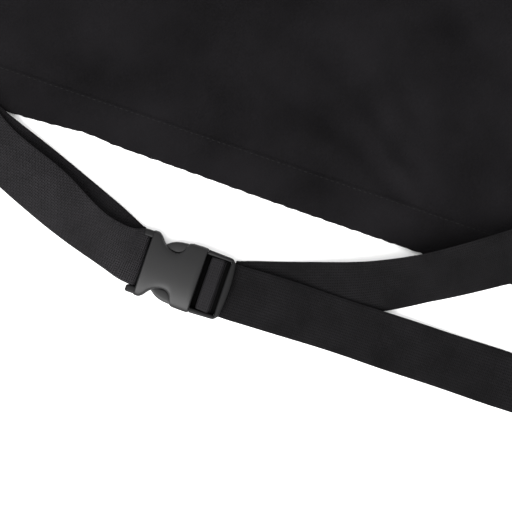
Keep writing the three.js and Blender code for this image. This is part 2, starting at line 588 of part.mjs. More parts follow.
// The free end runs on beside the skirt, over the belt and down to the surface.
const tailRoute = routeThrough([
  nearEdge(BELT_START, BUCKLE_OUT), nearEdge(BELT_START + RAIL_CLEAR, BUCKLE_OUT),
  nearEdge(BELT_START + 50, BUCKLE_OUT - 1.4), nearEdge(TAIL_DROP - 100, 63.4),
  nearEdge(TAIL_DROP + 4, 62.6)]);
const beltMiddle = along(eased(beltHeight, 70));
const TAIL_DRIFT = 2; // how far the free end lies nearer the cloth than the buckle's middle

// Middle height of the free end where its cloth-side edge lies on the belt, 0 once it is
// clear of the belt.
function onBelt(distance) {
  const out = -SKIRT_WIDTH / 2 - nearRoute.getPointAt(distance / nearLength).x;
  const across = BUCKLE_OUT - TAIL_DRIFT - BELT_WIDTH / 2 - out;
  if (across > BELT_WIDTH / 2) return 0;
  return beltMiddle(distance) - across * Math.sin(beltRoll(distance)) + BELT + 2 * GAP;
}
const lying = (distance, height) => [distance, Math.max(height, onBelt(distance))];

function tail() {
  const end = TAIL_LENGTH - GAP;
  const turn = LAYER / 2;
  const run = eased([
    [0, UNDER_END_BAR], [14, UNDER_END_BAR - 0.1], lying(46, 5.9), lying(66, 6),
    lying(86, 6.1), lying(100, 6), lying(114, 5.9), lying(130, 4.8), [146, 3.6],
    [176, 1.7], [206, BELT_FLOOR], [end - 60, BELT_FLOOR], [end - turn, BELT_FLOOR]], 56);
  const back = [[end - turn, BELT_FLOOR + LAYER], [end - TAIL_TURN_BACK, BELT_FLOOR + LAYER]];
  const profile = [...run, ...bend(end - turn, BELT_FLOOR + turn, turn, -70, 70, 6), ...back];
  return band(tailRoute, profile, beltWidth, BELT);
}
add('belt_tail', tail(), webbing());
const tailStitch = add('tail_stitching', box(-0.45, 0.45, -16, 16, 0, THREAD), thread());
tailStitch.geometry.rotateZ(Math.PI / 2);
tailStitch.position.copy(nearEdge(TAIL_DROP - TAIL_TURN_BACK + 6, 62.8));
tailStitch.position.z = BELT_FLOOR + LAYER + BELT / 2 + GAP;

// ---------------------------------------------------------------- neck strap
const NECK_X = BIB_HALF - NECK_ANCHOR_IN;
const ARCH_Y = BIB_HEIGHT + NECK_LEG;
const NECK_LOW = HEM_HIGH + GAP + NECK / 2;
const NECK_TWIST = 58; // length over which the strap turns from flat to on edge
const ON_EDGE = NECK_WIDTH / 2 + 0.5; // strap's middle height where it stands on its edge

const neckPath = new THREE.CurvePath();
neckPath.add(new THREE.LineCurve3(
  new THREE.Vector3(-NECK_X, BIB_HEIGHT - NECK_LAP, 0), new THREE.Vector3(-NECK_X, ARCH_Y, 0)));
const archPoints = Array.from({ length: 25 }, (_, i) => {
  const angle = Math.PI - (Math.PI * i) / 24;
  return new THREE.Vector3(NECK_X * Math.cos(angle), ARCH_Y + NECK_X * Math.sin(angle), 0);
});
neckPath.add(new THREE.CatmullRomCurve3(archPoints));
const ARCH_LENGTH = NECK_LAP + NECK_LEG + Math.PI * NECK_X;

function neckArch() {
  const leg = NECK_LAP + NECK_LEG;
  const straight = Array.from({ length: 15 }, (_, i) => (leg * i) / 14);
  const arch = Array.from({ length: 24 }, (_, i) => leg + ((ARCH_LENGTH - leg) * (i + 1)) / 24);
  const turnFrom = leg - NECK_TWIST - 20;
  const rise = along([
    [0, NECK_LOW], [turnFrom - 60, NECK_LOW], [leg - 20, ON_EDGE], [ARCH_LENGTH, ON_EDGE]]);
  const twist = along([[turnFrom, 0], [leg - 20, Math.PI / 2]]);
  return band(neckPath, [...straight, ...arch].map((d) => [d, rise(d)]), () => NECK_WIDTH, NECK, twist);
}
add('neck_strap', neckArch(), webbing());
const neckStitch = add('neck_stitching', stitchedBox(26, 19, NECK_LOW + NECK / 2 + GAP), thread());
neckStitch.position.set(-NECK_X, BIB_HEIGHT - NECK_LAP / 2, 0);
neckStitch.rotation.z = Math.PI / 2;

// The adjustable side: down from the arch, through the slider, round the ring and back to the slider.
const SLIDER_LOW = 2.4;
const SLIDER_CENTRE = [SLIDER_LOW, SLIDER_LOW + 1.8];
const SLIDER_OUTER = [SLIDER_LOW + 3.3, SLIDER_LOW + 5.1];
const RING_Z = HEM_HIGH + 0.8;
const ringFar = BIB_HEIGHT + RING_REACH + RING_LENGTH;

function neckRun() {
  const top = ARCH_Y - 2 * GAP;
  const length = top - ringFar;
  const slider = top - BIB_HEIGHT - SLIDER_REACH;
  const over = SLIDER_CENTRE[1] + GAP + NECK / 2;
  const under = SLIDER_OUTER[0] - GAP - NECK / 2;
  const reach = SLIDER_LENGTH / 2 - SLIDER_BAR / 2;
  const bendRadius = RING_WIRE / 2 + GAP + NECK / 2;
  const main = eased([
    [0, ON_EDGE], [8, ON_EDGE], [NECK_TWIST, under + 2], [slider - 18, under],
    [slider - reach, under - 0.25], [slider, over], [slider + reach, under - 0.25], [slider + 22, under],
    [length - 8, RING_Z + bendRadius], [length, RING_Z + bendRadius]], 44);
  const back = eased([
    [length, RING_Z - bendRadius], [length - 10, RING_Z - bendRadius], [slider + 16, 1.1],
    [slider + 2, SLIDER_CENTRE[0] - GAP - NECK / 2], [slider - 1.2, SLIDER_CENTRE[0] - GAP - NECK / 2]], 20);
  const hook = bend(slider - 1.2, SLIDER_LOW + 0.9, 1.8, 250, 180, 4);
  const route = new THREE.LineCurve3(
    new THREE.Vector3(NECK_X, top, 0), new THREE.Vector3(NECK_X, ringFar - 10, 0));
  const profile = [...main, ...bend(length, RING_Z, bendRadius, 75, -75, 6), ...back, ...hook];
  const roll = along([[0, Math.PI / 2], [NECK_TWIST, 0]]);
  return band(route, profile, () => NECK_WIDTH, NECK, roll);
}
add('neck_adjuster_run', neckRun(), webbing());

function frameOf(length, bars, low, high) {
  const half = NECK_WIDTH / 2 + 0.8;
  const outer = half + RING_WIRE;
  const rails = [-1, 1].map((side) =>
    box(side < 0 ? -outer : half, side < 0 ? -half : outer, -length / 2, length / 2, low, high));
  return joined(...rails, ...bars.map(([y, width, z0, z1]) =>
    box(-half - 1, half + 1, y - width / 2, y + width / 2, z0, z1)));
}

const sliderEdge = SLIDER_LENGTH / 2 - SLIDER_BAR / 2;
const slider = add('neck_slider', frameOf(SLIDER_LENGTH, [
  [0, SLIDER_BAR, ...SLIDER_CENTRE],
  [-sliderEdge, SLIDER_BAR, ...SLIDER_OUTER],
  [sliderEdge, SLIDER_BAR, ...SLIDER_OUTER]], SLIDER_LOW, SLIDER_OUTER[1]), plastic());
slider.position.set(NECK_X, BIB_HEIGHT + SLIDER_REACH, 0);

// Rectangular loop of round wire with ball-rounded corners.
function wireLoop(width, length, wire) {
  const rod = (reach) => new THREE.CylinderGeometry(wire / 2, wire / 2, reach, 12);
  const ends = [-1, 1].map((side) => rod(width).rotateZ(Math.PI / 2).translate(0, (side * length) / 2, 0));
  const sides = [-1, 1].map((side) => rod(length).translate((side * width) / 2, 0, 0));
  const corners = [-1, 1].flatMap((i) => [-1, 1].map((j) =>
    new THREE.SphereGeometry(wire / 2, 12, 8).translate((i * width) / 2, (j * length) / 2, 0)));
  return joined(...ends, ...sides, ...corners);
}

const ring = add('neck_ring', wireLoop(NECK_WIDTH + 1.6 + RING_WIRE, RING_LENGTH, RING_WIRE), plastic());
ring.position.set(NECK_X, BIB_HEIGHT + RING_REACH + RING_LENGTH / 2, RING_Z);

// Short doubled tab that holds the ring on the bib.
function ringTab() {
  const radius = RING_WIRE / 2 + GAP + NECK / 2;
  const reach = NECK_LAP + RING_REACH;
  const low = NECK_LOW;
  const high = low + NECK + GAP;
  const route = new THREE.LineCurve3(
    new THREE.Vector3(NECK_X, BIB_HEIGHT - NECK_LAP, 0),
    new THREE.Vector3(NECK_X, BIB_HEIGHT + RING_REACH + 10, 0));
  const lower = eased([
    [0, low], [NECK_LAP - 4, low], [NECK_LAP + 1, low],
    [reach - 3, RING_Z - radius], [reach, RING_Z - radius]], 18);
  const upper = eased([
    [reach, RING_Z + radius], [reach - 3, RING_Z + radius],
    [NECK_LAP + 1, high], [NECK_LAP - 4, high], [0, high]], 18);
  const profile = [...lower, ...bend(reach, RING_Z, radius, -75, 75, 6), ...upper];
  return band(route, profile, () => NECK_WIDTH, NECK);
}
add('ring_tab', ringTab(), webbing());
const ringTabTop = NECK_LOW + NECK + GAP + NECK / 2;
const ringStitch = add('ring_tab_stitching', stitchedBox(26, 19, ringTabTop + GAP), thread());
ringStitch.position.set(NECK_X, BIB_HEIGHT - NECK_LAP / 2, 0);
ringStitch.rotation.z = Math.PI / 2;

// ---------------------------------------------------------------- origin under the middle of the footprint
const bounds = new THREE.Box3().setFromObject(apron);
const middle = bounds.getCenter(new THREE.Vector3());
apron.position.set(-middle.x, -middle.y, -bounds.min.z);

export default apron;
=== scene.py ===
"""Artist smock apron lying flat, wearer's side up, with its waist belt buckled beside the skirt.

Sizes are in millimetres and become metres where a mesh is made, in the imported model's frame: +Y toward the bib,
+Z up, -X toward the edge that the buckle lies beside. Cloth, webbing and buckle are surfaces worked out as arrays,
each a function of two numbers.
"""
import math

import bpy
import numpy as np
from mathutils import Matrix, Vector


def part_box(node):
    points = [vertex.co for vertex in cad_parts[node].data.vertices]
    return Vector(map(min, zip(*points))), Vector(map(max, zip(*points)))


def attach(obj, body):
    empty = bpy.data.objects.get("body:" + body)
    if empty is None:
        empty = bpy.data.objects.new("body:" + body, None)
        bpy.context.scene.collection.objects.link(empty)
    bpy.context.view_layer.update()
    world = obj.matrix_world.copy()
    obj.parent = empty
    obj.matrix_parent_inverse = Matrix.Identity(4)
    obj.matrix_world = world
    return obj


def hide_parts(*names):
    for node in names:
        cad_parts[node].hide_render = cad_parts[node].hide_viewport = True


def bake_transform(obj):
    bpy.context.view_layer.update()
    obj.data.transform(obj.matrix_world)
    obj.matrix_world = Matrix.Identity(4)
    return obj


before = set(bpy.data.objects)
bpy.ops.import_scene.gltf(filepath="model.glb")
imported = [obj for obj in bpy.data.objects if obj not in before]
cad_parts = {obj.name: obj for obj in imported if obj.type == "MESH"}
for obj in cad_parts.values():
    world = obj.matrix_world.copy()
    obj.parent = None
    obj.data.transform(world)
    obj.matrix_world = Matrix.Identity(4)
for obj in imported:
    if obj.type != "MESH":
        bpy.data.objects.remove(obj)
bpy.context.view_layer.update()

MM = 0.001
TAU = 2 * math.pi

# ------------------------------------------------------------------ sizes, in millimetres
SKIRT_WIDTH = 700
SKIRT_LENGTH = 660
BIB_HEIGHT = 280
BIB_HALF = 135
ARM_FLAT = 0.16
SIDE_HEM = 29
BOTTOM_HEM = 26
BIB_HEM = 34
CLOTH = 0.8
CLOTH_TOP = 2.6  # the cloth's upper face where it lies single
HEM_STEP = 0.9  # how much the hem stands over it
HEM_SAG = 0.7  # how much lower the side edges lie
EDGE_EASE = 30  # width over which they lower
REST = 0.3  # clearance between pieces that lie on each other
BELT_WIDTH = 38
SLOT_BELT_WIDTH = 36.4
BELT = 1.4
NECK_WIDTH = 25
NECK = 1.2
BUCKLE_DROP = 255
BUCKLE_OUT = 66.3
BUCKLE_THICK = 12
SOCKET_LENGTH = 45.4
PLUG_LENGTH = 21.5
EDGE_CROSSING = 469
CROSSING = math.radians(34)
FOLD_REACH = 175
TAIL_LENGTH = 305
TAIL_TURN_BACK = 26

# ------------------------------------------------------------------ places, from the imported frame
panel_low, panel_high = (np.array(c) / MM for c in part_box("apron_panel"))
NEAR_X, HEM_Y = panel_low[0], panel_low[1]
FAR_X, BIB_TOP = panel_high[0], panel_high[1]
MIDDLE_X = (NEAR_X + FAR_X) / 2
WAIST_Y = HEM_Y + SKIRT_LENGTH
HALF = (FAR_X - NEAR_X) / 2
HEM_HIGH = panel_high[2]
ANCHOR = HEM_HIGH + REST + 0.5 + REST + 0.75  # middle of the webbing sewn on a patch
LAYER = 1.5 + REST  # one thickness of webbing to the next


def near_edge(drop, out, height=0.0):
    """A point beside the near side edge: drop below the waist corner, out from the edge, in millimetres."""
    return np.array([NEAR_X - out, WAIST_Y - drop, height])


# ------------------------------------------------------------------ camera and light
VIEW_WIDTH = 348.2
VIEW_CENTRE = near_edge(331.8, 37.8, 4.0) * MM
EDGE_TURN = math.radians(18.83)
LENS = 85
camera_data = bpy.data.cameras.new("camera")
camera_data.lens = LENS
camera_data.sensor_width = 36
camera = bpy.data.objects.new("camera", camera_data)
bpy.context.scene.collection.objects.link(camera)
distance = VIEW_WIDTH * MM / 2 / math.tan(math.atan(18 / LENS))
camera.location = VIEW_CENTRE + np.array([0, 0, distance])
camera.rotation_euler = (0, 0, -(math.pi / 2 - EDGE_TURN))
camera_data.clip_start, camera_data.clip_end = 0.01, 20
bpy.context.scene.camera = camera


def area_light(name, place, aim, size, power):
    """A square soft light at place, turned toward aim."""
    data = bpy.data.lights.new(name, "AREA")
    data.size = size
    data.energy = power
    lamp = bpy.data.objects.new(name, data)
    bpy.context.scene.collection.objects.link(lamp)
    lamp.location = place
    lamp.rotation_euler = Vector(np.array(aim) - np.array(place)).to_track_quat("-Z", "Y").to_euler()


key = near_edge(300, 900) * MM + np.array([0, 0.25, 1.0])
area_light("key_light", key, VIEW_CENTRE, 1.2, 44)
fill = near_edge(250, -900) * MM + np.array([0, 0.5, 1.6])
area_light("fill_light", fill, VIEW_CENTRE, 1.8, 5)
world = bpy.data.worlds.new("room")
bpy.context.scene.world = world
world.use_nodes = True
background = world.node_tree.nodes["Background"]
background.inputs["Color"].default_value = (1, 1, 1, 1)
background.inputs["Strength"].default_value = 1.45
bpy.context.scene.view_settings.view_transform = "Standard"


# ------------------------------------------------------------------ shader node groups
def node_group(name, inputs, outputs):
    """An empty shader group with its sockets, and its input and output nodes."""
    group = bpy.data.node_groups.new(name, "ShaderNodeTree")
    for label, kind, value in inputs:
        socket = group.interface.new_socket(name=label, in_out="INPUT", socket_type=kind)
        if value is not None:
            socket.default_value = value
    for label, kind in outputs:
        group.interface.new_socket(name=label, in_out="OUTPUT", socket_type=kind)
    return group, group.nodes.new("NodeGroupInput"), group.nodes.new("NodeGroupOutput")


def math_node(tree, operation, a, b=None):
    """One Math node; a and b are sockets or numbers."""
    node = tree.nodes.new("ShaderNodeMath")
    node.operation = operation
    for socket, value in zip(node.inputs, (a, b)):
        if isinstance(value, (int, float)):
            socket.default_value = value
        elif value is not None:
            tree.links.new(value, socket)
    return node.outputs[0]


FLOAT, VECTOR = "NodeSocketFloat", "NodeSocketVector"


def weave_group():
    """Threads seen as two crossing sine waves: one along the length, one across, passing over each other in turn."""
    group, given, result = node_group(
        "woven_threads",
        [("Vector", VECTOR, None), ("Along", FLOAT, 1000.0), ("Across", FLOAT, 1000.0), ("Slant", FLOAT, 0.0)],
        [("Height", FLOAT)])
    split = group.nodes.new("ShaderNodeSeparateXYZ")
    group.links.new(given.outputs["Vector"], split.inputs[0])
    along = math_node(group, "MULTIPLY", split.outputs[0], given.outputs["Along"])
    across = math_node(group, "MULTIPLY", split.outputs[1], given.outputs["Across"])
    slanted = math_node(group, "ADD", along, math_node(group, "MULTIPLY", across, given.outputs["Slant"]))
    wave_a = math_node(group, "SINE", slanted)
    wave_b = math_node(group, "SINE", across)
    product = math_node(group, "MULTIPLY", wave_a, wave_b)
    rib = math_node(group, "MULTIPLY", wave_a, 0.5)
    both = math_node(group, "ADD", product, rib)
    group.links.new(math_node(group, "MULTIPLY", both, 0.66), result.inputs["Height"])
    return group


def unevenness_group():
    """Soft mottling and fine grain: two sizes of noise mixed to one value round a half."""
    group, given, result = node_group(
        "unevenness",
        [("Vector", VECTOR, None), ("Patch", FLOAT, 20.0), ("Grain", FLOAT, 900.0), ("Grain share", FLOAT, 0.5)],
        [("Value", FLOAT)])
    parts = []
    for label, detail in (("Patch", 3.0), ("Grain", 2.0)):
        noise = group.nodes.new("ShaderNodeTexNoise")
        noise.inputs["Detail"].default_value = detail
        group.links.new(given.outputs["Vector"], noise.inputs["Vector"])
        group.links.new(given.outputs[label], noise.inputs["Scale"])
        parts.append(noise.outputs[0])
    mix = group.nodes.new("ShaderNodeMix")
    group.links.new(given.outputs["Grain share"], mix.inputs[0])
    group.links.new(parts[0], mix.inputs[2])
    group.links.new(parts[1], mix.inputs[3])
    group.links.new(mix.outputs[0], result.inputs["Value"])
    return group


WEAVE = weave_group()
UNEVEN = unevenness_group()


def material(name, dark, light, roughness, source, weave=None, patch=25, grain=1500, grain_share=0.5,
             bump=0.0002, bump_grain=0.5, specular=0.5, rough_swing=0.1, tint_by_weave=0.0):
    """Principled surface: colour between dark and light by unevenness and thread height, bump from both.

    source is "Object" for coordinates in metres or the name of the webbing's own attribute.
    """
    m = bpy.data.materials.new(name)
    m.use_nodes = True
    tree = m.node_tree
    surface = tree.nodes["Principled BSDF"]
    if source == "Object":
        coordinates = tree.nodes.new("ShaderNodeTexCoord").outputs["Object"]
    else:
        attribute = tree.nodes.new("ShaderNodeAttribute")
        attribute.attribute_name = source
        coordinates = attribute.outputs["Vector"]
    uneven = tree.nodes.new("ShaderNodeGroup")
    uneven.node_tree = UNEVEN
    tree.links.new(coordinates, uneven.inputs["Vector"])
    uneven.inputs["Patch"].default_value = patch
    uneven.inputs["Grain"].default_value = grain
    uneven.inputs["Grain share"].default_value = grain_share
    value = uneven.outputs["Value"]
    height = math_node(tree, "MULTIPLY", value, bump_grain)
    if weave:
        threads = tree.nodes.new("ShaderNodeGroup")
        threads.node_tree = WEAVE
        tree.links.new(coordinates, threads.inputs["Vector"])
        for label, number in zip(("Along", "Across", "Slant"), weave):
            threads.inputs[label].default_value = number
        height = math_node(tree, "ADD", height, threads.outputs["Height"])
        value = math_node(tree, "ADD", value, math_node(tree, "MULTIPLY", threads.outputs["Height"], tint_by_weave))
    ramp = tree.nodes.new("ShaderNodeMapRange")
    ramp.inputs["From Min"].default_value = 0.3
    ramp.inputs["From Max"].default_value = 0.7
    tree.links.new(value, ramp.inputs["Value"])
    colour = tree.nodes.new("ShaderNodeMix")
    colour.data_type = "RGBA"
    tree.links.new(ramp.outputs[0], colour.inputs[0])
    colour.inputs[6].default_value = (*dark, 1)
    colour.inputs[7].default_value = (*light, 1)
    tree.links.new(colour.outputs[2], surface.inputs["Base Color"])
    swing = math_node(tree, "MULTIPLY", math_node(tree, "SUBTRACT", value, 0.5), rough_swing)
    tree.links.new(math_node(tree, "ADD", swing, roughness), surface.inputs["Roughness"])
    bumps = tree.nodes.new("ShaderNodeBump")
    bumps.inputs["Distance"].default_value = bump
    bumps.inputs["Strength"].default_value = 1.0
    tree.links.new(height, bumps.inputs["Height"])
    tree.links.new(bumps.outputs["Normal"], surface.inputs["Normal"])
    surface.inputs["Specular IOR Level"].default_value = specular
    return m


def grey(level, warm=1.0, cool=1.0):
    """A dark grey with its red and blue shares raised a little."""
    return (level * warm, level, level * cool)


APRON_CLOTH = material("apron_cloth", grey(0.0020, 1.1, 1.12), grey(0.0068, 1.08, 1.12), 0.9, "Object",
                       weave=(TAU / 0.0009, TAU / 0.0009, 0.0), patch=18, grain=1300, grain_share=0.45,
                       bump=0.00016, bump_grain=0.9, specular=0.035, tint_by_weave=0.12)
BINDING_TAPE = material("binding_tape", grey(0.004, 1.05, 1.08), grey(0.008, 1.05, 1.08), 0.82, "Object",
                        weave=(TAU / 0.0007, TAU / 0.0007, 0.4), bump=0.00012, specular=0.06, tint_by_weave=0.15)


def webbing(name, dark, light, roughness, weave, **look):
    """Woven strap, patterned along its own length."""
    return material(name, grey(dark, 1.06, 1.1), grey(light, 1.06, 1.1), roughness, "run", patch=40, **weave, **look)


TAB_WEAVE = dict(weave=(TAU / 0.0013, TAU / 0.0016, 0.0), grain=1250, grain_share=0.6, bump_grain=0.9)
BELT_WEAVE = dict(weave=(TAU / 0.0012, TAU / 0.0019, 0.0), grain=1100, grain_share=0.5, bump_grain=0.7)
NECK_WEAVE = dict(BELT_WEAVE, weave=(TAU / 0.0012, TAU / 0.0017, 0.0))
TAB_WEBBING = webbing("tab_webbing", 0.0008, 0.0176, 0.72, TAB_WEAVE, bump=0.0004, specular=0.075, tint_by_weave=0.6)
BELT_WEBBING = webbing("belt_webbing", 0.0012, 0.0066, 0.75, BELT_WEAVE, bump=0.0003, specular=0.045,
                       tint_by_weave=0.35)
# Painted shade: the tab's webbing again, coloured darker for its under layer, which lies in the upper layer's shadow.
SHADED_TAB_WEBBING = webbing("tab_webbing_painted_shade", 0.0020, 0.0078, 0.8, TAB_WEAVE, bump=0.0003, specular=0.04,
                        tint_by_weave=0.4)
# Painted light: the belt's webbing again, coloured lighter where it turns over the plug's middle bar, for the light
# falling on that top.
LIT_TURN_WEBBING = webbing("turn_webbing", 0.0050, 0.0104, 0.75, BELT_WEAVE, bump=0.0002, specular=0.06,
                       tint_by_weave=0.2)
NECK_WEBBING = webbing("neck_webbing", 0.0012, 0.0066, 0.75, NECK_WEAVE, bump=0.0003, specular=0.045,
                       tint_by_weave=0.35)
SEWING_THREAD = material("sewing_thread", grey(0.004), grey(0.009), 0.6, "Object", patch=60, grain=2500,
                         bump=0.00008, specular=0.12)
PLASTIC_SHADES = grey(0.0024, 1.02, 1.08), grey(0.0038, 1.02, 1.08)
PLASTIC_GRAIN = dict(patch=90, grain=5200, grain_share=0.75, bump=0.00002, bump_grain=1.0, rough_swing=0.16)
BUCKLE_PLASTIC = material("buckle_plastic", *PLASTIC_SHADES, 0.42, "Object", specular=0.228, **PLASTIC_GRAIN)
BUCKLE_FRAME = material("buckle_plastic_frame", *PLASTIC_SHADES, 0.4, "Object", specular=0.11, **PLASTIC_GRAIN)
# Painted shade: the buckle's plastic coloured near black for blocks deep in its slots and under its bars, standing in
# for the shadow there.
BUCKLE_PAINTED_SHADE = material("buckle_plastic_painted_shade", grey(0.0006), grey(0.001), 0.6, "Object", patch=90, grain=4000,
                         bump=0.00002, specular=0.012)


# ------------------------------------------------------------------ mesh makers
def quads(rows, columns, wrap=False, start=0):
    """Four indices for each cell of a rows x columns grid of points, joined round the columns if wrap is set."""
    i = np.arange(rows - 1)[:, None] * columns
    j = np.arange(columns if wrap else columns - 1)[None, :]
    k = (j + 1) % columns
    cells = np.broadcast_arrays(i + j, i + k, i + columns + k, i + columns + j)
    return np.stack(cells, -1).reshape(-1, 4) + start


def shape(name, points, faces, skin, body="root", stands_for=(), run=None, crease=35):
    """A mesh from points in millimetres and faces, riding on a body in place of the named plain pieces."""
    mesh = bpy.data.meshes.new(name)
    mesh.from_pydata((np.asarray(points) * MM).tolist(), [], outward(points, faces).tolist())
    mesh.validate()
    if run is not None:
        field = mesh.attributes.new("run", "FLOAT_VECTOR", "POINT")
        field.data.foreach_set("vector", (np.asarray(run) * MM).astype(np.float32).ravel())
    mesh.shade_smooth()
    mesh.set_sharp_from_angle(angle=math.radians(crease))
    mesh.materials.append(skin)
    thing = bpy.data.objects.new(name, mesh)
    bpy.context.scene.collection.objects.link(thing)
    if body is not None:
        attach(thing, body)
    if stands_for:
        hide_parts(*stands_for)
    return thing


def shell(top, bottom):
    """Points and faces of a closed body between two grids of the same size, the upper one facing up.

    Rows run one way and columns a quarter turn to the left of it, so that the upper faces point up.
    """
    rows, columns = top.shape[:2]
    count = rows * columns
    upper = quads(rows, columns)
    lower = quads(rows, columns, start=count)[:, ::-1]
    index = np.arange(count).reshape(rows, columns)
    loop = np.concatenate([index[0], index[1:, -1], index[-1, -2::-1], index[-2:0:-1, 0]])
    after = np.roll(loop, -1)
    rim = np.stack([loop, loop + count, after + count, after], -1)
    points = np.concatenate([top.reshape(-1, 3), bottom.reshape(-1, 3)])
    return points, np.concatenate([upper, lower, rim])


def outward(points, faces):
    """The same faces, turned over as a whole if the body they close has a negative volume."""
    a, b, c, d = (points[faces[:, i]] for i in range(4))
    volume = np.einsum("ij,ij->i", a, np.cross(b, c)).sum() + np.einsum("ij,ij->i", a, np.cross(c, d)).sum()
    return faces if volume > 0 else faces[:, ::-1]


def capped_tube(rings):
    """Points and faces of a closed tube from rings of points (rows x around), its ends closed by a ladder of cells."""
    rows, count = rings.shape[:2]
    i = np.arange(1, count // 2)
    cap = np.stack([i - 1, i, count - i - 1 + 0 * i, (count - i) % count], -1)
    cells = np.concatenate([quads(rows, count, wrap=True), cap, cap[:, ::-1] + (rows - 1) * count])
    return rings.reshape(-1, 3), cells


def ring_of(count):
    """Cosine and sine of evenly spaced angles round a section, as one row."""
    angle = np.linspace(0, TAU, count, endpoint=False)[None, :]
    return np.cos(angle), np.sin(angle)


def squared(value, power):
    """The value's size raised to a power under one, with its sign: a circle's share becomes a rounded square's."""
    return np.sign(value) * np.abs(value) ** power


def lengths(line):
    """Distance along a line of points at each of them."""
    return np.concatenate([[0], np.cumsum(np.linalg.norm(np.diff(line, axis=0), axis=1))])


def smooth_line(points, spacing):
    """Curve through the points (rows), tangents by the square root of the spans, then spaced evenly by length."""
    points = np.asarray(points, float)
    p = np.vstack([2 * points[0] - points[1], points, 2 * points[-1] - points[-2]])
    span = np.sqrt(np.linalg.norm(np.diff(p, axis=0), axis=1))[:, None]
    s0, s1, s2 = span[:-2], span[1:-1], span[2:]
    p0, p1, p2, p3 = p[:-3], p[1:-2], p[2:-1], p[3:]
    leave = ((p1 - p0) / s0 - (p2 - p0) / (s0 + s1) + (p2 - p1) / s1) * s1
    arrive = ((p2 - p1) / s1 - (p3 - p1) / (s1 + s2) + (p3 - p2) / s2) * s1
    t = np.linspace(0, 1, 40, endpoint=False)[None, :, None]
    h00, h10 = 2 * t**3 - 3 * t**2 + 1, t**3 - 2 * t**2 + t
    h01, h11 = -2 * t**3 + 3 * t**2, t**3 - t**2
    line = h00 * p1[:, None] + h10 * leave[:, None] + h01 * p2[:, None] + h11 * arrive[:, None]
    line = np.vstack([line.reshape(-1, points.shape[1]), points[-1:]])
    return evenly(line, spacing)


def evenly(line, spacing):
    """The polyline's points spaced evenly by length, about spacing apart."""
    line = np.asarray(line, float)
    run = lengths(line)
    places = np.linspace(0, run[-1], max(2, int(round(run[-1] / spacing)) + 1))
    return np.stack([np.interp(places, run, line[:, i]) for i in range(line.shape[1])], -1)


def steps(pairs):
    """Straight-line interpolation of (distance, value) pairs, level beyond the ends."""
    xs, ys = np.array(pairs, float).T
    return lambda d: np.interp(d, xs, ys)


def soft(t):
    """Eased step from 0 to 1: three squares less two cubes of the share, held level outside."""
    t = np.clip(t, 0, 1)
    return t * t * (3 - 2 * t)


def bend(d, z, radius, start, stop, count=9):
    """Points on part of a circle in the side profile, angles in degrees."""
    angle = np.radians(np.linspace(start, stop, count))
    return np.stack([d + radius * np.cos(angle), z + radius * np.sin(angle)], -1)


SECTION = 15
section_a = np.sin(np.linspace(1, -1, SECTION) * math.pi / 2)
section_h = 0.3 + 0.7 * np.sqrt(1 - np.abs(section_a) ** 14)


def band(name, route, profile, width, thickness, skin, roll=None, lift=None, sway=None, start=0.0, **options):
    """Webbing carried along a plan route: a rounded flat section at each (distance, height) of the profile.

    route is points in plan, profile is pairs, width(d) and roll(d) follow the distance, lift(d, a) raises the face
    at the share a of the half width and sway(d, a) moves the selvedge across. Every size is in millimetres.
    """
    route = np.asarray(route, float)[:, :2]
    profile = np.asarray(profile, float)
    along_route = lengths(route)
    d, z = profile.T
    gone = start + np.concatenate([[0], np.cumsum(np.hypot(np.diff(d), np.diff(z)))])
    held = np.clip(d, 0, along_route[-1])
    centre = np.stack([np.interp(held, along_route, route[:, i]) for i in (0, 1)] + [z], -1)
    heading = np.stack([np.interp(held, along_route, np.gradient(route[:, i], along_route)) for i in (0, 1)], -1)
    heading /= np.linalg.norm(heading, axis=1)[:, None]
    centre[:, :2] += heading * (d - held)[:, None]
    forward = np.column_stack([heading, np.zeros(len(d))])
    left = np.column_stack([-heading[:, 1], heading[:, 0], np.zeros(len(d))])
    slope = np.stack([np.gradient(d), np.gradient(z)], -1)
    slope /= np.linalg.norm(slope, axis=1)[:, None]
    facing = -forward * slope[:, 1:] + np.array([0, 0, 1.0]) * slope[:, :1]
    turn = (roll(d) if roll else np.zeros(len(d)))[:, None]
    across = left * np.cos(turn) + facing * np.sin(turn)
    out = facing * np.cos(turn) - left * np.sin(turn)
    half = (width(d) if callable(width) else np.full(len(d), float(width)))[:, None] / 2
    a = np.concatenate([section_a, section_a[::-1]])[None, :]
    h = np.concatenate([section_h, -section_h[::-1]])[None, :] * thickness / 2
    dd = d[:, None]
    v = a * half + (sway(gone[:, None], a) if sway else 0)
    w = h + (lift(dd, a) if lift else 0)
    points = centre[:, None] + across[:, None] * v[..., None] + out[:, None] * w[..., None]
    rows, columns = len(d), 2 * SECTION
    faces = quads(rows, columns, wrap=True)
    i = np.arange(SECTION - 1)
    cap = np.stack([i, i + 1, columns - 2 - i, columns - 1 - i], -1)
    faces = np.concatenate([faces, cap, cap[:, ::-1] + (rows - 1) * columns])
    run = np.stack(np.broadcast_arrays(gone[:, None], a * half, h * 2), -1).reshape(-1, 3)
    points = points.reshape(-1, 3)
    return shape(name, points, faces, skin, run=run, **options)


# ------------------------------------------------------------------ apron cloth
FOLDS = [  # soft folds that the belt's pull raises: start, heading in degrees, length, height, width
    ((14, 452), 74, 190, 2.6, 9), ((30, 440), 62, 175, 2.2, 8), ((46, 436), 84, 150, 1.9, 10),
    ((62, 428), 55, 200, 2.4, 10), ((20, 505), 28, 150, 1.6, 10), ((96, 400), 47, 190, 1.5, 12),
    ((120, 470), 66, 170, 1.4, 14), ((150, 330), 40, 240, 1.2, 16)]


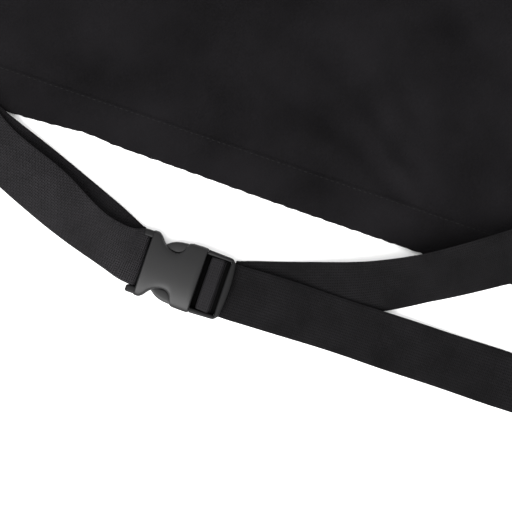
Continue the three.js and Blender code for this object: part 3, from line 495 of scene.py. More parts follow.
def ripples(x, y, longest, seeds):
    """Sum of sine waves with different headings and lengths, between minus and plus one."""
    total = 0
    for k in range(seeds):
        angle = 2.4 * k + 0.6
        length = longest / (1 + 0.37 * k)
        total = total + np.sin(TAU * (x * math.cos(angle) + y * math.sin(angle)) / length + 1.7 * k) / (1 + 0.3 * k)
    return total / (seeds * 0.6)


def stitch_pucker(drop):
    """Small waves that the side hem's stitching draws along it."""
    return 0.22 * np.sin(TAU * drop / 9.5 + 1.5 * np.sin(drop / 31))


def cloth_height(x, y):
    """Height of the cloth's upper face: broad waves, soft folds near the belt, puckers by the hem stitching."""
    inward = x - NEAR_X
    drop = WAIST_Y - y
    z = 0.7 * ripples(x, y, 190, 6) + 0.35 * ripples(x + 40, y, 61, 5)
    for (fold_in, fold_drop), heading, reach, height, wide in FOLDS:
        turn = math.radians(heading)
        along = (inward - fold_in) * math.cos(turn) + (fold_drop - drop) * math.sin(turn)
        off = (fold_drop - drop) * math.cos(turn) - (inward - fold_in) * math.sin(turn)
        off = off + 5 * np.sin(along / 38 + heading)
        spread = wide * (0.6 + 0.9 * np.clip(along / reach, 0, 1))
        body = soft(along / (0.25 * reach)) * soft((reach - along) / (0.6 * reach))
        z = z + height * body * (np.exp(-(off / spread) ** 2) - 0.45 * np.exp(-((off - 2 * spread) / spread) ** 2))
    calm = soft(inward / 45)
    z = z * (0.25 + 0.75 * calm)
    near_line = np.exp(-((inward - SIDE_HEM) / 5.0) ** 2)
    return z + near_line * stitch_pucker(drop)


def armhole_curve(t):
    """The armhole's edge at the shares t of its curve: distance out from the middle, and height over the waist."""
    reach = HALF - BIB_HALF
    out = [HALF, HALF - reach * (1 - ARM_FLAT), BIB_HALF + reach * ARM_FLAT, BIB_HALF]
    up = [0, BIB_HEIGHT * ARM_FLAT, BIB_HEIGHT * (1 - 3 * ARM_FLAT), BIB_HEIGHT]
    weight = np.stack([(1 - t) ** 3, 3 * t * (1 - t) ** 2, 3 * t * t * (1 - t), t**3])
    return np.stack([weight.T @ np.array(out), weight.T @ np.array(up)], -1)


def half_width(y):
    """Half the cloth's width at height y: straight to the waist, then the armhole's curve."""
    out, up = armhole_curve(np.linspace(0, 1, 400)).T
    return np.interp(y - WAIST_Y, up, out)


def step_up(distance, width=1.0):
    """From 0 outside to 1 inside an edge, over a short rounded shoulder."""
    return soft(distance / width + 0.5)


ROLLED = 4  # width over which the cloth's edges are rolled thin
NEAR_EDGE_DIP = smooth_line([(0, 0), (110, 0), (150, 0.6), (176, 2.2), (196, 3.6), (216, 2.2), (246, 1.7), (280, 1.2),
                             (330, 0.3), (380, 0), (SKIRT_LENGTH, 0)], 2.0)


def edge_line(drop):
    """How far the near side edge lies inside its straight line: one shallow dip and the puckers of the stitching."""
    puckers = stitch_pucker(drop) + 0.14 * np.sin(drop / 2.3)
    return np.interp(drop, NEAR_EDGE_DIP[:, 0], NEAR_EDGE_DIP[:, 1]) + (puckers + 0.3) * (drop > 8)


def apron_sheet():
    """Cloth with turned hems: the upper face is the height function plus a step where the hem doubles it."""
    inward = np.concatenate([
        [0, 0.5, 1.2, 2.4], np.arange(4.5, 27, 2.6), [28.0, 28.6, 29.2, 29.8, 31], np.arange(34, 235, 3.1),
        np.arange(238, 668, 6.2), [671, 672, 676, 684, 692, 697, 699.2, SKIRT_WIDTH]])
    drop = np.concatenate([
        np.arange(-BIB_HEIGHT, -248, 4), [-246.6, -245.4], np.arange(-240, 0, 5.5), np.arange(0, 150, 5.5),
        np.arange(152, 560, 3.1), np.arange(561, 630, 4.5), [633, 634.6, 638, 645, 652, 657, 659.2, SKIRT_LENGTH]])
    y = (WAIST_Y - drop)[:, None] + 0 * inward[None, :]
    share = (2 * inward / SKIRT_WIDTH - 1)[None, :]
    x = MIDDLE_X + half_width(y) * share + edge_line(drop)[:, None] * (1 - soft(inward / 24))[None, :]
    hem = np.maximum.reduce(np.broadcast_arrays(
        (1 - step_up(inward[None, :] - SIDE_HEM, 2.5)) * (drop[:, None] > 8),
        (1 - step_up(SKIRT_WIDTH - inward[None, :] - SIDE_HEM, 2.5)) * (drop[:, None] > 8),
        1 - step_up(SKIRT_LENGTH - drop[:, None] - BOTTOM_HEM),
        1 - step_up(drop[:, None] + BIB_HEIGHT - BIB_HEM)))
    edge = np.minimum.reduce(np.broadcast_arrays(
        np.clip(inward[None, :], 0, ROLLED), np.clip(SKIRT_WIDTH - inward[None, :], 0, ROLLED),
        np.clip(SKIRT_LENGTH - drop[:, None], 0, ROLLED), np.clip(drop[:, None] + BIB_HEIGHT, 0, ROLLED))) / ROLLED
    lift = cloth_height(x, y)
    sag = HEM_SAG * (1 - soft(np.minimum(inward, SKIRT_WIDTH - inward) / EDGE_EASE))[None, :]
    stitch = 0.18 * np.exp(-((inward - SIDE_HEM + 1.6) / 0.9) ** 2)[None, :]
    top = CLOTH_TOP + lift + HEM_STEP * hem - sag - stitch
    thick = (CLOTH + HEM_STEP * hem) * (0.5 + 0.5 * np.sqrt(1 - (1 - edge) ** 4))
    top = top - 0.25 * (1 - edge) ** 4
    upper = np.stack([x, y, top], -1)[::-1]
    lower = np.stack([x, y, top - thick], -1)[::-1]
    lower[..., 2] = np.maximum(lower[..., 2], 0.15)
    upper[..., 2] = np.maximum(upper[..., 2], lower[..., 2] + 0.3)
    points, faces = shell(upper, lower)
    cloth = shape("apron_cloth_panel", points, faces, APRON_CLOTH, stands_for=["apron_panel"])
    return cloth


apron_sheet()

# ------------------------------------------------------------------ belt, tab and tail


def through(places, spacing=2.0):
    """Plan route through places given as (drop, out) beside the near edge."""
    return smooth_line([near_edge(*place)[:2] for place in places], spacing)


tab_bend = math.hypot(1.2, 1.4) + REST + 0.75
tab_route = through([
    (36, -46), (60, -27), (86, -8), (112, 8.5), (152, 28), (192, 44), (228, 57.6), (BUCKLE_DROP - 9, 65.1),
    (BUCKLE_DROP - 2, BUCKLE_OUT), (BUCKLE_DROP + 2.3 + tab_bend + 1.5, BUCKLE_OUT)])
tab_length = np.linalg.norm(np.diff(tab_route, axis=0), axis=1).sum()


def wavy(size, length, phase=0.0):
    """Selvedge that wanders a little: a share of the half width times two slow waves."""
    return lambda d, a: size * a * (np.sin(d / length + phase) + 0.5 * np.sin(d / length * 2.7 + 2 * phase))


def cupped(depth, length=40.0):
    """Webbing that cups slightly across and ripples a little along."""
    return lambda d, a: depth * (a * a - 0.33) + 0.12 * np.sin(d / 7.0 + 3 * a) * a * a + 0.15 * np.sin(d / length)


turn = tab_length - tab_bend - 1.5
lower_run = smooth_line([
    (0, ANCHOR), (64, ANCHOR), (96, ANCHOR - 0.4), (124, ANCHOR - 0.6), (150, 2.9), (176, 2.0), (turn - 22, 2.4),
    (turn - 3, 6 - tab_bend), (turn, 6 - tab_bend)], 1.6)
upper_run = smooth_line([
    (turn, 6 + tab_bend), (turn - 3, 6 + tab_bend), (turn - 30, 9.6), (170, 10.2), (130, 9.6),
    (96, ANCHOR + LAYER + 0.8), (64, ANCHOR + LAYER), (0, ANCHOR + LAYER)], 1.6)
tab_width = steps([(turn - 40, BELT_WIDTH), (turn - 12, SLOT_BELT_WIDTH + 1.3)])


CLOTH_EDGE = smooth_line([(0, 3.4), (5, 3.2), (13, 1.6), (22, -2.6), (35, -6.2), (49, -6.0), (62, -4.2), (76, -2.6),
                          (92, -2.4), (106, -3.2), (124, -5.2), (140, -6.0)], 1.0)
OUTER_EDGE = smooth_line([(0, 1.4), (6, 1.8), (14, 2.6), (22, 1.8), (35, 0.5), (60, -0.5), (140, -0.5)], 1.0)


def tab_sway(gone, a):
    """The under layer lies a little toward the cloth and the upper one a little away, so that both edges show."""
    under = soft((gone - 80) / 80) * soft((turn + 2 - gone) / 6)
    back = 2 * turn + 8 - gone
    left = np.clip(turn - back, 0, 140)
    cloth_edge = np.interp(left, CLOTH_EDGE[:, 0], CLOTH_EDGE[:, 1])
    outer_edge = np.interp(left, OUTER_EDGE[:, 0], OUTER_EDGE[:, 1])
    over = ((cloth_edge + outer_edge) + a * (cloth_edge - outer_edge)) / 2 * soft((back - 80) / 80)
    upper = gone > turn + 4
    return np.where(upper, over, 4.4 * under) + 0.3 * np.sin(gone / 23) * a


round_bar = bend(turn, 6, tab_bend, -82, 82, 13)
under_part = np.vstack([lower_run, round_bar[:7]])
over_part = np.vstack([round_bar[6:], upper_run])
under_length = float(np.hypot(*np.diff(under_part, axis=0).T).sum())
# The under layer carries the painted-shade copy of the tab webbing; the over layer has the webbing's own colour.
for label, part, start, skin in (
        ("under", under_part, 0.0, SHADED_TAB_WEBBING), ("over", over_part, under_length, TAB_WEBBING)):
    band(f"tab_webbing_{label}", tab_route, part, tab_width, BELT, skin, lift=cupped(0.5), sway=tab_sway,
         start=start, stands_for=["socket_tab"])

# belt: out of the plug, up over the hem, across the skirt
BAR_HALF = 3.1
bar_u = SOCKET_LENGTH + 8.4
belt_start = BUCKLE_DROP + bar_u + BAR_HALF + 3.2 + REST
tail_end = belt_start + TAIL_LENGTH


def past_crossing(distance):
    """A point on the belt's line over the skirt, beyond where it crosses the side edge: (drop, out)."""
    return EDGE_CROSSING + distance * math.cos(CROSSING), -distance * math.sin(CROSSING)


SEAM = 80
FOLD_RUN = 32
belt_route = through([
    (belt_start, BUCKLE_OUT), (belt_start + 8, BUCKLE_OUT), (342, 60.5), (374, 49), (410, 34), (446, 14.5),
    past_crossing(0), past_crossing(SEAM / 2), past_crossing(SEAM), past_crossing(FOLD_REACH)])
belt_length = np.linalg.norm(np.diff(belt_route, axis=0), axis=1).sum()
FOLD_LOW = HEM_HIGH + REST + 0.75
near_height = smooth_line([
    (0, 3.0), (8, 3.0), (26, 1.9), (48, 2.2), (72, 4.2), (102, 7.8), (140, 10.6), (172, 12.6),
    (belt_length - FOLD_REACH + SEAM - 36, 12.0), (belt_length - FOLD_REACH + SEAM, 10.4),
    (belt_length - 34, FOLD_LOW + LAYER), (belt_length - 18, FOLD_LOW + LAYER), (belt_length, FOLD_LOW + LAYER)], 1.5)
near_roll = steps([
    (0, 0), (40, 0), (72, 0.14), (102, 0.34), (140, 0.48), (172, 0.44), (belt_length - FOLD_REACH + SEAM - 36, 0.36),
    (belt_length - FOLD_REACH + SEAM, 0.22), (belt_length - 46, 0), (belt_length, 0)])
belt_width = steps([(1, SLOT_BELT_WIDTH + 0.6), (9, BELT_WIDTH)])
on_plug = near_height[near_height[:, 0] <= belt_length - FOLD_REACH + 20]
over_skirt = near_height[near_height[:, 0] >= on_plug[-1, 0]]
drift = steps([(0, 0), (2, 0.2), (9, 2.2), (22, 2.2), (50, 1.4), (90, 0.5), (130, 0), (400, 0)])
near_belt = band("belt_from_plug", belt_route, on_plug, belt_width, BELT, BELT_WEBBING, roll=near_roll,
                 lift=cupped(0.5, 31), sway=lambda g, a: drift(g) + 0.3 * a * np.sin(g / 27), body=None,
                 stands_for=["belt_near_plug"])

# diagonal fold and the run to the far anchor, one length of webbing turned over on itself
fold_at = near_edge(*past_crossing(FOLD_REACH))[:2]
far_anchor = np.array([FAR_X - 34, WAIST_Y - 64])
to_plug = np.array([-math.sin(CROSSING), math.cos(CROSSING)])
to_anchor = (far_anchor - fold_at) / np.linalg.norm(far_anchor - fold_at)
over = band("belt_over_skirt_webbing", belt_route, over_skirt, BELT_WIDTH, BELT, BELT_WEBBING, roll=near_roll,
            lift=cupped(0.35, 31), sway=wavy(0.3, 27), stands_for=["belt_over_skirt"],
            start=float(on_plug[-1, 0]))


def folded_webbing():
    """The crease lies on the line that halves the angle of the two runs; each face is carried round it.

    A point is given by its distance beyond the crease and its place along the crease. The distance runs down one
    flap, round a half circle of the layers' spacing and back along the other flap.
    """
    crease = to_plug - to_anchor
    crease /= np.linalg.norm(crease)
    outward_way = -(to_plug + to_anchor)
    outward_way /= np.linalg.norm(outward_way)
    half_length = BELT_WIDTH / 2 / abs(crease[0] * to_anchor[1] - crease[1] * to_anchor[0])
    radius = LAYER / 2
    a = section_a
    flat = np.linspace(1, 0, 26) ** 1.2
    lines = []
    for sign in (1, -1):
        heading = to_plug if sign > 0 else to_anchor
        side = np.array([-heading[1], heading[0]])
        side = side * np.sign(side @ crease)
        for share in (flat if sign > 0 else flat[::-1]):
            on_crease = fold_at + crease * (a * half_length)[:, None]
            reach = (FOLD_RUN + 1 if sign > 0 else FOLD_RUN) * share
            far = fold_at + heading * reach + side * (a * BELT_WIDTH / 2)[:, None]
            plan = far * share + on_crease * (1 - share) if share < 1 else far
            height = FOLD_LOW + (LAYER if sign > 0 else 0) + 0 * a
            lines.append((plan, height))
        if sign > 0:
            for angle in np.linspace(80, -80, 9):
                turned = math.radians(angle)
                plan = fold_at + crease * (a * half_length)[:, None] + outward_way * radius * math.cos(turned)
                lines.append((plan, FOLD_LOW + radius + radius * math.sin(turned) + 0 * a))
    middle = np.array([np.column_stack([plan, height]) for plan, height in lines])
    along = np.gradient(middle, axis=0)
    across = np.gradient(middle, axis=1)
    facing = np.cross(along, across)
    facing /= np.linalg.norm(facing, axis=-1)[..., None]
    h = (section_h * 0.72)[None, :, None]
    one, other = middle + facing * h, middle - facing * h
    points, faces = shell(one, other)
    gone = lengths(middle[:, SECTION // 2])
    run = np.stack(np.broadcast_arrays(gone[:, None], a[None, :] * BELT_WIDTH / 2, 0.0), -1).reshape(-1, 3)
    return shape("belt_diagonal_fold", points, faces, BELT_WEBBING, run=np.vstack([run, run]),
                 stands_for=["belt_fold"])


folded_webbing()
far_start, far_stop = fold_at + to_anchor * FOLD_RUN, far_anchor + to_anchor * 23
far_route = np.linspace(far_start, far_stop, 200)
far_length = np.linalg.norm(far_stop - far_start)
far_profile = smooth_line([
    (0, FOLD_LOW), (60, FOLD_LOW + 0.3), (0.4 * far_length, FOLD_LOW + 0.8), (0.6 * far_length, FOLD_LOW + 0.2),
    (far_length - 130, FOLD_LOW + 0.4), (far_length - 80, ANCHOR), (far_length, ANCHOR)], 2.4)
band("belt_far_run_webbing", far_route, far_profile, BELT_WIDTH, BELT, BELT_WEBBING, lift=cupped(0.3, 47),
     sway=wavy(0.35, 60, 1.0), stands_for=["belt_far_run"])

# the belt's turn round the plug's middle bar, and its free end
tail_route = through([
    (belt_start, BUCKLE_OUT), (belt_start + 8, BUCKLE_OUT), (belt_start + 50, BUCKLE_OUT - 1.4),
    (tail_end - 100, 63.4), (tail_end + 4, 62.6)])
tail_turn = LAYER / 2
end = TAIL_LENGTH - REST
floor_height = 1.25
tail_profile = np.vstack([
    smooth_line([
        (0, 5.0), (8, 5.0), (18, 5.3), (46, 5.9), (86, 6.1), (114, 5.9), (146, 3.6), (176, 1.7), (206, floor_height),
        (end - 60, floor_height), (end - tail_turn, floor_height)], 1.5),
    bend(end - tail_turn, floor_height + tail_turn, tail_turn, -78, 78, 9),
    smooth_line([(end - tail_turn, floor_height + LAYER), (end - 10, floor_height + LAYER + 0.2),
                 (end - TAIL_TURN_BACK, floor_height + LAYER)], 1.5)])
tail = band("belt_free_end", tail_route, tail_profile, belt_width, BELT, BELT_WEBBING, lift=cupped(0.45, 37),
            sway=wavy(0.35, 33, 2.0), body=None, stands_for=["belt_tail"])
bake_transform(tail)

BUCKLE_ORIGIN = near_edge(BUCKLE_DROP, BUCKLE_OUT)


def on_buckle(points):
    """Buckle places (u along, v across toward the cloth, z up) carried to the row's frame."""
    points = np.asarray(points, float)
    return BUCKLE_ORIGIN + np.stack([points[..., 1], -points[..., 0], points[..., 2]], -1)


side_run = 3.1 + 0.45 + 0.75
left_u, right_u = bar_u - side_run, bar_u + side_run
belt_end_u = bar_u + 3.1 + 3.2
turn_profile = np.vstack([
    smooth_line([(belt_end_u, 3.0), (belt_end_u - 4, 3.0), (left_u + 3.3, 3.0)], 1.0),
    bend(left_u + 1.5, 4.5, 1.5, 265, 185, 7), bend(left_u + 1.7, 6.9, 1.7, 175, 95, 8),
    bend(right_u - 1.7, 6.9, 1.7, 85, 0, 8), [(belt_end_u - 1.6, 5.3), (belt_end_u, 5.0)]])
buckle_line = on_buckle([(u, 0, 0) for u in np.linspace(0, 90, 91)])[:, :2]
# The turn round the middle bar carries the belt webbing's painted-light copy.
band("belt_turn_webbing", buckle_line, evenly(turn_profile, 0.7), SLOT_BELT_WIDTH + 0.6, BELT, LIT_TURN_WEBBING,
     lift=lambda d, a: 0.12 * (1 - a * a), sway=lambda g, a: 0.25 * a * np.sin(g / 3.0), body="plug",
     stands_for=["belt_turn"])
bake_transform(near_belt)


# ------------------------------------------------------------------ side-release buckle
PLATE = 2.6
CAVITY_HALF = 19.5
FACE_START = 6.4
WINDOW_END = 33.6

OUTLINE = smooth_line([  # half width of the socket at each place along it
    (0, 20.8), (1, 22.0), (3, 22.4), (7, 22.8), (10, 22.7), (12.5, 21.0), (15, 17.9), (18, 15.3), (21, 13.8),
    (24.5, 13.1), (27.5, 13.9), (29.5, 16.2), (30.7, 19.2), (31.8, 21.7), (33.6, 22.5), (36, 22.6), (44, 22.7),
    (45.4, 22.4)], 0.2)


def socket_half(u):
    """Half width of the socket along its length: rounded shoulders, two concave windows, a slight flare."""
    return np.interp(u, OUTLINE[:, 0], OUTLINE[:, 1])


def crown(u):
    """Height of the socket's face along its middle: highest over the windows, falling toward both ends."""
    return 1.3 - 1.1 * np.clip(1 - (u - 0.3) / 5, 0, 1) ** 2 - 0.55 * np.clip((u - 41.5) / 4, 0, 1) ** 2


def face_plate(name, top_side, skin):
    """Domed face plate: flat inside, outside falling to the sides as a superellipse of the share across."""
    u = np.concatenate([
        np.linspace(FACE_START, 7.4, 5)[:-1], np.linspace(7.4, 44.4, 86), np.linspace(44.4, SOCKET_LENGTH, 5)[1:]])
    a = np.sin(np.linspace(-1, 1, 61) * math.pi / 2)
    v = socket_half(u)[:, None] * a[None, :]
    reach = np.abs(v) / socket_half(np.array([0.0]))[0]
    ends = np.clip(np.minimum(u - FACE_START, SOCKET_LENGTH - u) / 1.1, 0, 1)
    rounding = (0.35 + 0.65 * np.sqrt(1 - (1 - ends) ** 2))[:, None] * (1 - np.abs(a)[None, :] ** 9) ** 0.42
    rise = PLATE * rounding + crown(u)[:, None] * (1 - reach ** 2) - 1.0 * reach ** 3
    inner = BUCKLE_THICK - PLATE
    high = np.maximum(inner + rise, inner + 0.12)
    uu = u[:, None] + 0 * v
    top = on_buckle(np.stack([uu, v, high], -1))
    bottom = on_buckle(np.stack([uu, v, inner + 0 * v], -1))
    if not top_side:
        low = np.maximum(BUCKLE_THICK - high, 0.15)
        top = on_buckle(np.stack([uu, v, BUCKLE_THICK - inner + 0 * v], -1))
        bottom = on_buckle(np.stack([uu, v, low], -1))
    points, faces = shell(top, bottom)
    return shape(name, points, faces, skin, crease=50,
                 stands_for=["buckle_socket"])


def side_wall(name, side, u_from, u_to, inner):
    """Wall between the face plates: flat inside, outside bulging a little beyond the plates' edges."""
    u = np.linspace(u_from, u_to, 24)
    z = np.linspace(PLATE - 0.3, BUCKLE_THICK - PLATE + 0.3, 11)
    swell = 0.35 * (1 - ((z - BUCKLE_THICK / 2) / (BUCKLE_THICK / 2 - PLATE + 0.3)) ** 2)
    ends = np.clip(np.minimum(u - u_from, u_to - u) / 0.9, 0, 1)
    round_end = 0.7 * (1 - np.sqrt(1 - (1 - ends) ** 2))
    outer = side * (socket_half(u)[:, None] + swell[None, :] - round_end[:, None])
    inside = side * np.minimum(inner, np.abs(outer) - 0.4)
    uu, zz = np.meshgrid(u, z, indexing="ij")
    points, faces = shell(on_buckle(np.stack([uu, outer, zz], -1)), on_buckle(np.stack([uu, inside, zz], -1)))
    return shape(name, points, faces, BUCKLE_PLASTIC, stands_for=["buckle_socket"])


def rounded_block(name, low, high, skin, power=5.0, body="root", stands_for=(), taper=0.0, count=26):
    """Block whose corners are rounded as a superellipsoid: a function of two angles, each axis to its own reach."""
    low, high = np.array(low, float), np.array(high, float)
    p = np.linspace(-math.pi / 2, math.pi / 2, count)[:, None]
    q = np.linspace(-math.pi, math.pi, 2 * count, endpoint=False)[None, :]
    x = squared(np.cos(p), 2 / power) * squared(np.cos(q), 2 / power)
    y = squared(np.cos(p), 2 / power) * squared(np.sin(q), 2 / power)
    z = squared(np.sin(p), 2 / power) + 0 * q
    unit = np.stack([x, y * (1 - taper * np.clip(x, 0, 1)), z], -1)
    points = on_buckle((low + high) / 2 + unit * (high - low) / 2).reshape(-1, 3)
    faces = quads(count, 2 * count, wrap=True)
    return shape(name, points, faces, skin, body=body, stands_for=stands_for, crease=180)


face_plate("socket_face_upper", True, BUCKLE_PLASTIC)
face_plate("socket_face_lower", False, BUCKLE_PLASTIC)
for side, label in ((1, "cloth_side"), (-1, "outer_side")):
    side_wall(f"socket_shoulder_{label}", side, FACE_START, 13.4, CAVITY_HALF - 1)
    side_wall(f"socket_mouth_wall_{label}", side, WINDOW_END, SOCKET_LENGTH - 0.15, CAVITY_HALF)
    rounded_block(f"socket_ear_{label}", (-0.3, min(side * 17.4, side * 22.5), 0.9),
                  (9.8, max(side * 17.4, side * 22.5), 10.2), BUCKLE_FRAME, power=5,
                  stands_for=["buckle_socket"])
rounded_block("socket_head", (FACE_START, -CAVITY_HALF, 1.4), (9.6, CAVITY_HALF, 10.6), BUCKLE_PLASTIC, power=9,
              stands_for=["buckle_socket"])
# The web under the socket's head is coloured with the painted shade.
rounded_block("socket_web", (4.4, -20.0, 0.3), (8.5, 20.0, 1.5), BUCKLE_PAINTED_SHADE, power=8,
              stands_for=["buckle_socket"])
rounded_block("socket_bar", (1.1, -20.6, 4.6), (3.5, 20.6, 7.4), BUCKLE_PLASTIC, power=4,
              stands_for=["buckle_socket"])


def rail(name, side):
    """Plug's side rail: a rounded section that narrows and lowers toward the end bar, carried along the plug."""
    u = np.concatenate([np.linspace(SOCKET_LENGTH - 1.2, SOCKET_LENGTH + 0.4, 4), np.linspace(46.4, 64.7, 40)])
    share = np.clip((u - SOCKET_LENGTH) / PLUG_LENGTH, 0, 1)
    outer = np.where(u < SOCKET_LENGTH + 0.2, 19.2, 22.5 - 0.9 * share - 1.5 * np.clip((u - 61.4) / 3.3, 0, 1) ** 2)
    inner = 18.9 + 0 * u
    middle, half = (outer + inner) / 2, np.maximum((outer - inner) / 2, 0.3)
    high = 9.2 + 0.5 * np.sin(math.pi * share) + 0.2
    low = 2.7 + 1.6 * soft((share - 0.6) / 0.25)
    c, s = ring_of(28)
    across = side * (middle[:, None] + half[:, None] * squared(c, 0.55))
    up = ((high + low) / 2)[:, None] + ((high - low) / 2)[:, None] * squared(s, 0.5)
    points, faces = capped_tube(on_buckle(np.stack([u[:, None] + 0 * across, across, up], -1)))
    return shape(name, points, faces, BUCKLE_FRAME, body="plug", stands_for=["plug_frame"], crease=50)


def end_bar():
    """Bar that joins the rails: a rounded section swept across, its outer edge bowed along the buckle."""
    a = np.sin(np.linspace(-1, 1, 49) * math.pi / 2)
    v = 21.2 * a
    tip = 67.5 - 2.0 * a * a - 2.4 * np.clip((np.abs(a) - 0.84) / 0.16, 0, 1) ** 2
    back = 62.4 + 0.3 * a * a
    c, s = ring_of(28)
    mid, half = ((tip + back) / 2)[:, None], ((tip - back) / 2)[:, None]
    close = np.sqrt(np.clip(1 - np.abs(a) ** 20, 0.04, 1))[:, None]
    u = mid + half * close * squared(c, 0.6)
    z = 9.05 + (1.85 - 0.35 * (a * a)[:, None]) * close * squared(s, 0.6) + 0.25 * s * (1 + c) * 0.5
    points, faces = capped_tube(on_buckle(np.stack([u, v[:, None] + 0 * u, z], -1)))
    return shape("plug_end_bar", points, faces, BUCKLE_FRAME, body="plug",
                 stands_for=["plug_frame"], crease=50)


for side, label in ((1, "cloth_side"), (-1, "outer_side")):
    rail(f"plug_rail_{label}", side)
end_bar()
# Painted shade: the lip, the web and the middle bar are near black so the plug's slots and the bar under the turned
# webbing read dark, and the block low in the far slot is only there to paint that slot's shadow.
for label, low, high, skin in (
        ("plug_root", (41.9, -19.2, 2.7), (45.3, 19.2, 9.3), BUCKLE_FRAME),
        ("plug_lip", (44.0, -19.3, 2.7), (48.3, 19.3, 4.4), BUCKLE_PAINTED_SHADE),
        ("plug_web", (45.7, -20.0, 0.6), (61.6, 20.0, 1.9), BUCKLE_PAINTED_SHADE),
        ("plug_slot_painted_shade", (59.6, -19.6, 5.0), (62.9, 19.6, 6.4), BUCKLE_PAINTED_SHADE),
        ("plug_tongue", (14.0, -2.2, 2.9), (44.0, 2.2, 9.1), BUCKLE_FRAME),
        ("plug_middle_bar", (bar_u - BAR_HALF, -19.0, 4.3), (bar_u + BAR_HALF, 19.0, 7.3), BUCKLE_PAINTED_SHADE)):
    rounded_block(label, low, high, skin, power=7, body="plug", stands_for=["plug_frame"])


def prong(side, label):
    """Sprung arm and thumb pad: the outer outline is a crescent along the buckle, the section rounded upright."""
    u = np.linspace(41.5, 13.2, 70)
    heel = 32.9
    rounded = np.interp(u, (13.2, 14.6, 16.4, 18, 20, 22.5, 25, 27, 30.5, heel),
                        (13.5, 14.6, 16.2, 17.5, 19, 20.2, 20.9, 21.3, 21.6, 21.4))
    outer = np.where(u > heel, 18.2, rounded)
    nose = np.clip((15.6 - u) / 2.4, 0, 1)
    inner = np.where(u > heel, 15.7, 15.7 - 3.5 * soft((heel - u) / 7)) - 1.0 * nose
    middle, half = (outer + inner) / 2, (outer - inner) / 2
    c, s = ring_of(32)
    across = side * (middle[:, None] + half[:, None] * squared(c, 0.6))
    tall = (3.05 - 0.25 * nose)[:, None]
    z = BUCKLE_THICK / 2 + tall * squared(s, 0.55)
    points, faces = capped_tube(on_buckle(np.stack([u[:, None] + 0 * across, across, z], -1)))
    node = f"prong_{label}"
    return shape(f"{node}_pad", points, faces, BUCKLE_PLASTIC, body=node, stands_for=[node], crease=50)


prong(1, "cloth_side")
prong(-1, "outer_side")


# ------------------------------------------------------------------ patches, pockets, tapes
def flat_cloth(name, corners, height, thick, skin, node, wave=0.0, columns=40, rows=40):
    """Cloth patch spanned between four corners: straight-line mix of the corners, edges rolled down slightly."""
    s = np.sin((np.linspace(0, 1, columns) - 0.5) * math.pi) / 2 + 0.5
    t = np.sin((np.linspace(0, 1, rows) - 0.5) * math.pi) / 2 + 0.5
    s, t = s[None, :, None], t[:, None, None]
    c = np.array(corners, float)
    plan = (1 - t) * ((1 - s) * c[0] + s * c[1]) + t * ((1 - s) * c[3] + s * c[2])
    rim = (1 - (2 * s[..., 0] - 1) ** 12) * (1 - (2 * t[..., 0] - 1) ** 12)
    soft_rim = 0.4 + 0.6 * np.sqrt(np.clip(rim, 0, 1))
    bulge = wave * ripples(plan[..., 0], plan[..., 1], 60, 4) * rim
    upper = np.concatenate([plan, (height + thick / 2 * soft_rim + bulge)[..., None]], -1)
    lower = np.concatenate([plan, (height - thick / 2 * soft_rim + bulge)[..., None]], -1)
    points, faces = shell(upper, lower)
    return shape(name, points, faces, skin, stands_for=[node])


def rectangle(middle, length, width, turned=0.0):
    """Its corners in plan, anticlockwise from the lower left, turned by an angle about its middle."""
    c, s = math.cos(turned) / 2, math.sin(turned) / 2
    return [np.array(middle) + np.array([a * length * c - b * width * s, a * length * s + b * width * c])
            for a, b in ((-1, -1), (1, -1), (1, 1), (-1, 1))]


run_of_tab = lengths(tab_route)
tab_anchor = np.array([np.interp(30, run_of_tab, tab_route[:, i]) for i in (0, 1)])
tab_ahead = np.array([np.interp(40, run_of_tab, tab_route[:, i]) for i in (0, 1)]) - tab_anchor
tab_angle = math.atan2(tab_ahead[1], tab_ahead[0])
near_patch_middle = (NEAR_X + 31, tab_anchor[1])
PATCH = 58  # side of the reinforcing patches
patch_height = HEM_HIGH + REST + 0.25
flat_cloth("anchor_patch_near", rectangle(near_patch_middle, PATCH, PATCH),
           patch_height, 0.6, APRON_CLOTH, "near_anchor_patch")
flat_cloth("anchor_patch_far", rectangle(far_anchor, PATCH, PATCH),
           patch_height, 0.6, APRON_CLOTH, "far_anchor_patch")

for name, node, width, height, mouth in (
        ("hand_pocket_cloth", "hand_pocket", 330, 200, WAIST_Y - 95),
        ("chest_pocket_cloth", "chest_pocket", 150, 140, BIB_TOP - 75)):
    corners = rectangle((MIDDLE_X, mouth - height / 2), width, height)
    pocket = flat_cloth(name, corners, 1.0, 0.6, APRON_CLOTH, node)
    corners = rectangle((MIDDLE_X, mouth - 4.65), width, 10.7)
    flat_cloth(f"{node}_mouth_tape", corners, 1.0, 1.9, BINDING_TAPE, f"{node}_binding", columns=120, rows=16)


TAPE_MIDDLE = 4.65  # the binding tape's middle, in from the armhole's edge
TAPE_HALF = 5.3


def armhole_tape(name, side, node):
    """Tape folded over the armhole's edge: a flattened ring section carried along the armhole's curve."""
    line = armhole_curve(np.linspace(0.012, 0.992, 260))
    line = line[line[:, 1] > 5.5]
    heading = np.gradient(line, axis=0)
    heading /= np.linalg.norm(heading, axis=1)[:, None]
    inside = np.stack([-heading[:, 1], heading[:, 0]], -1)
    c, s = ring_of(26)
    across = TAPE_MIDDLE + TAPE_HALF * squared(c, 0.5)
    plan = line[:, None] + inside[:, None] * across[..., None]
    x = MIDDLE_X + side * plan[..., 0]
    y = WAIST_Y + plan[..., 1]
    pucker = 0.12 * np.sin(np.arange(len(line)) / 2.2)[:, None]
    z = CLOTH_TOP + cloth_height(x, y) + (0.98 + pucker) * squared(s, 0.5) - 0.35
    z = z + HEM_STEP * (1 - step_up(WAIST_Y - y + BIB_HEIGHT - BIB_HEM, 4))
    points, faces = capped_tube(np.stack([x, y, np.maximum(z, 0.2)], -1))
    return shape(name, points, faces, BINDING_TAPE, stands_for=[node])


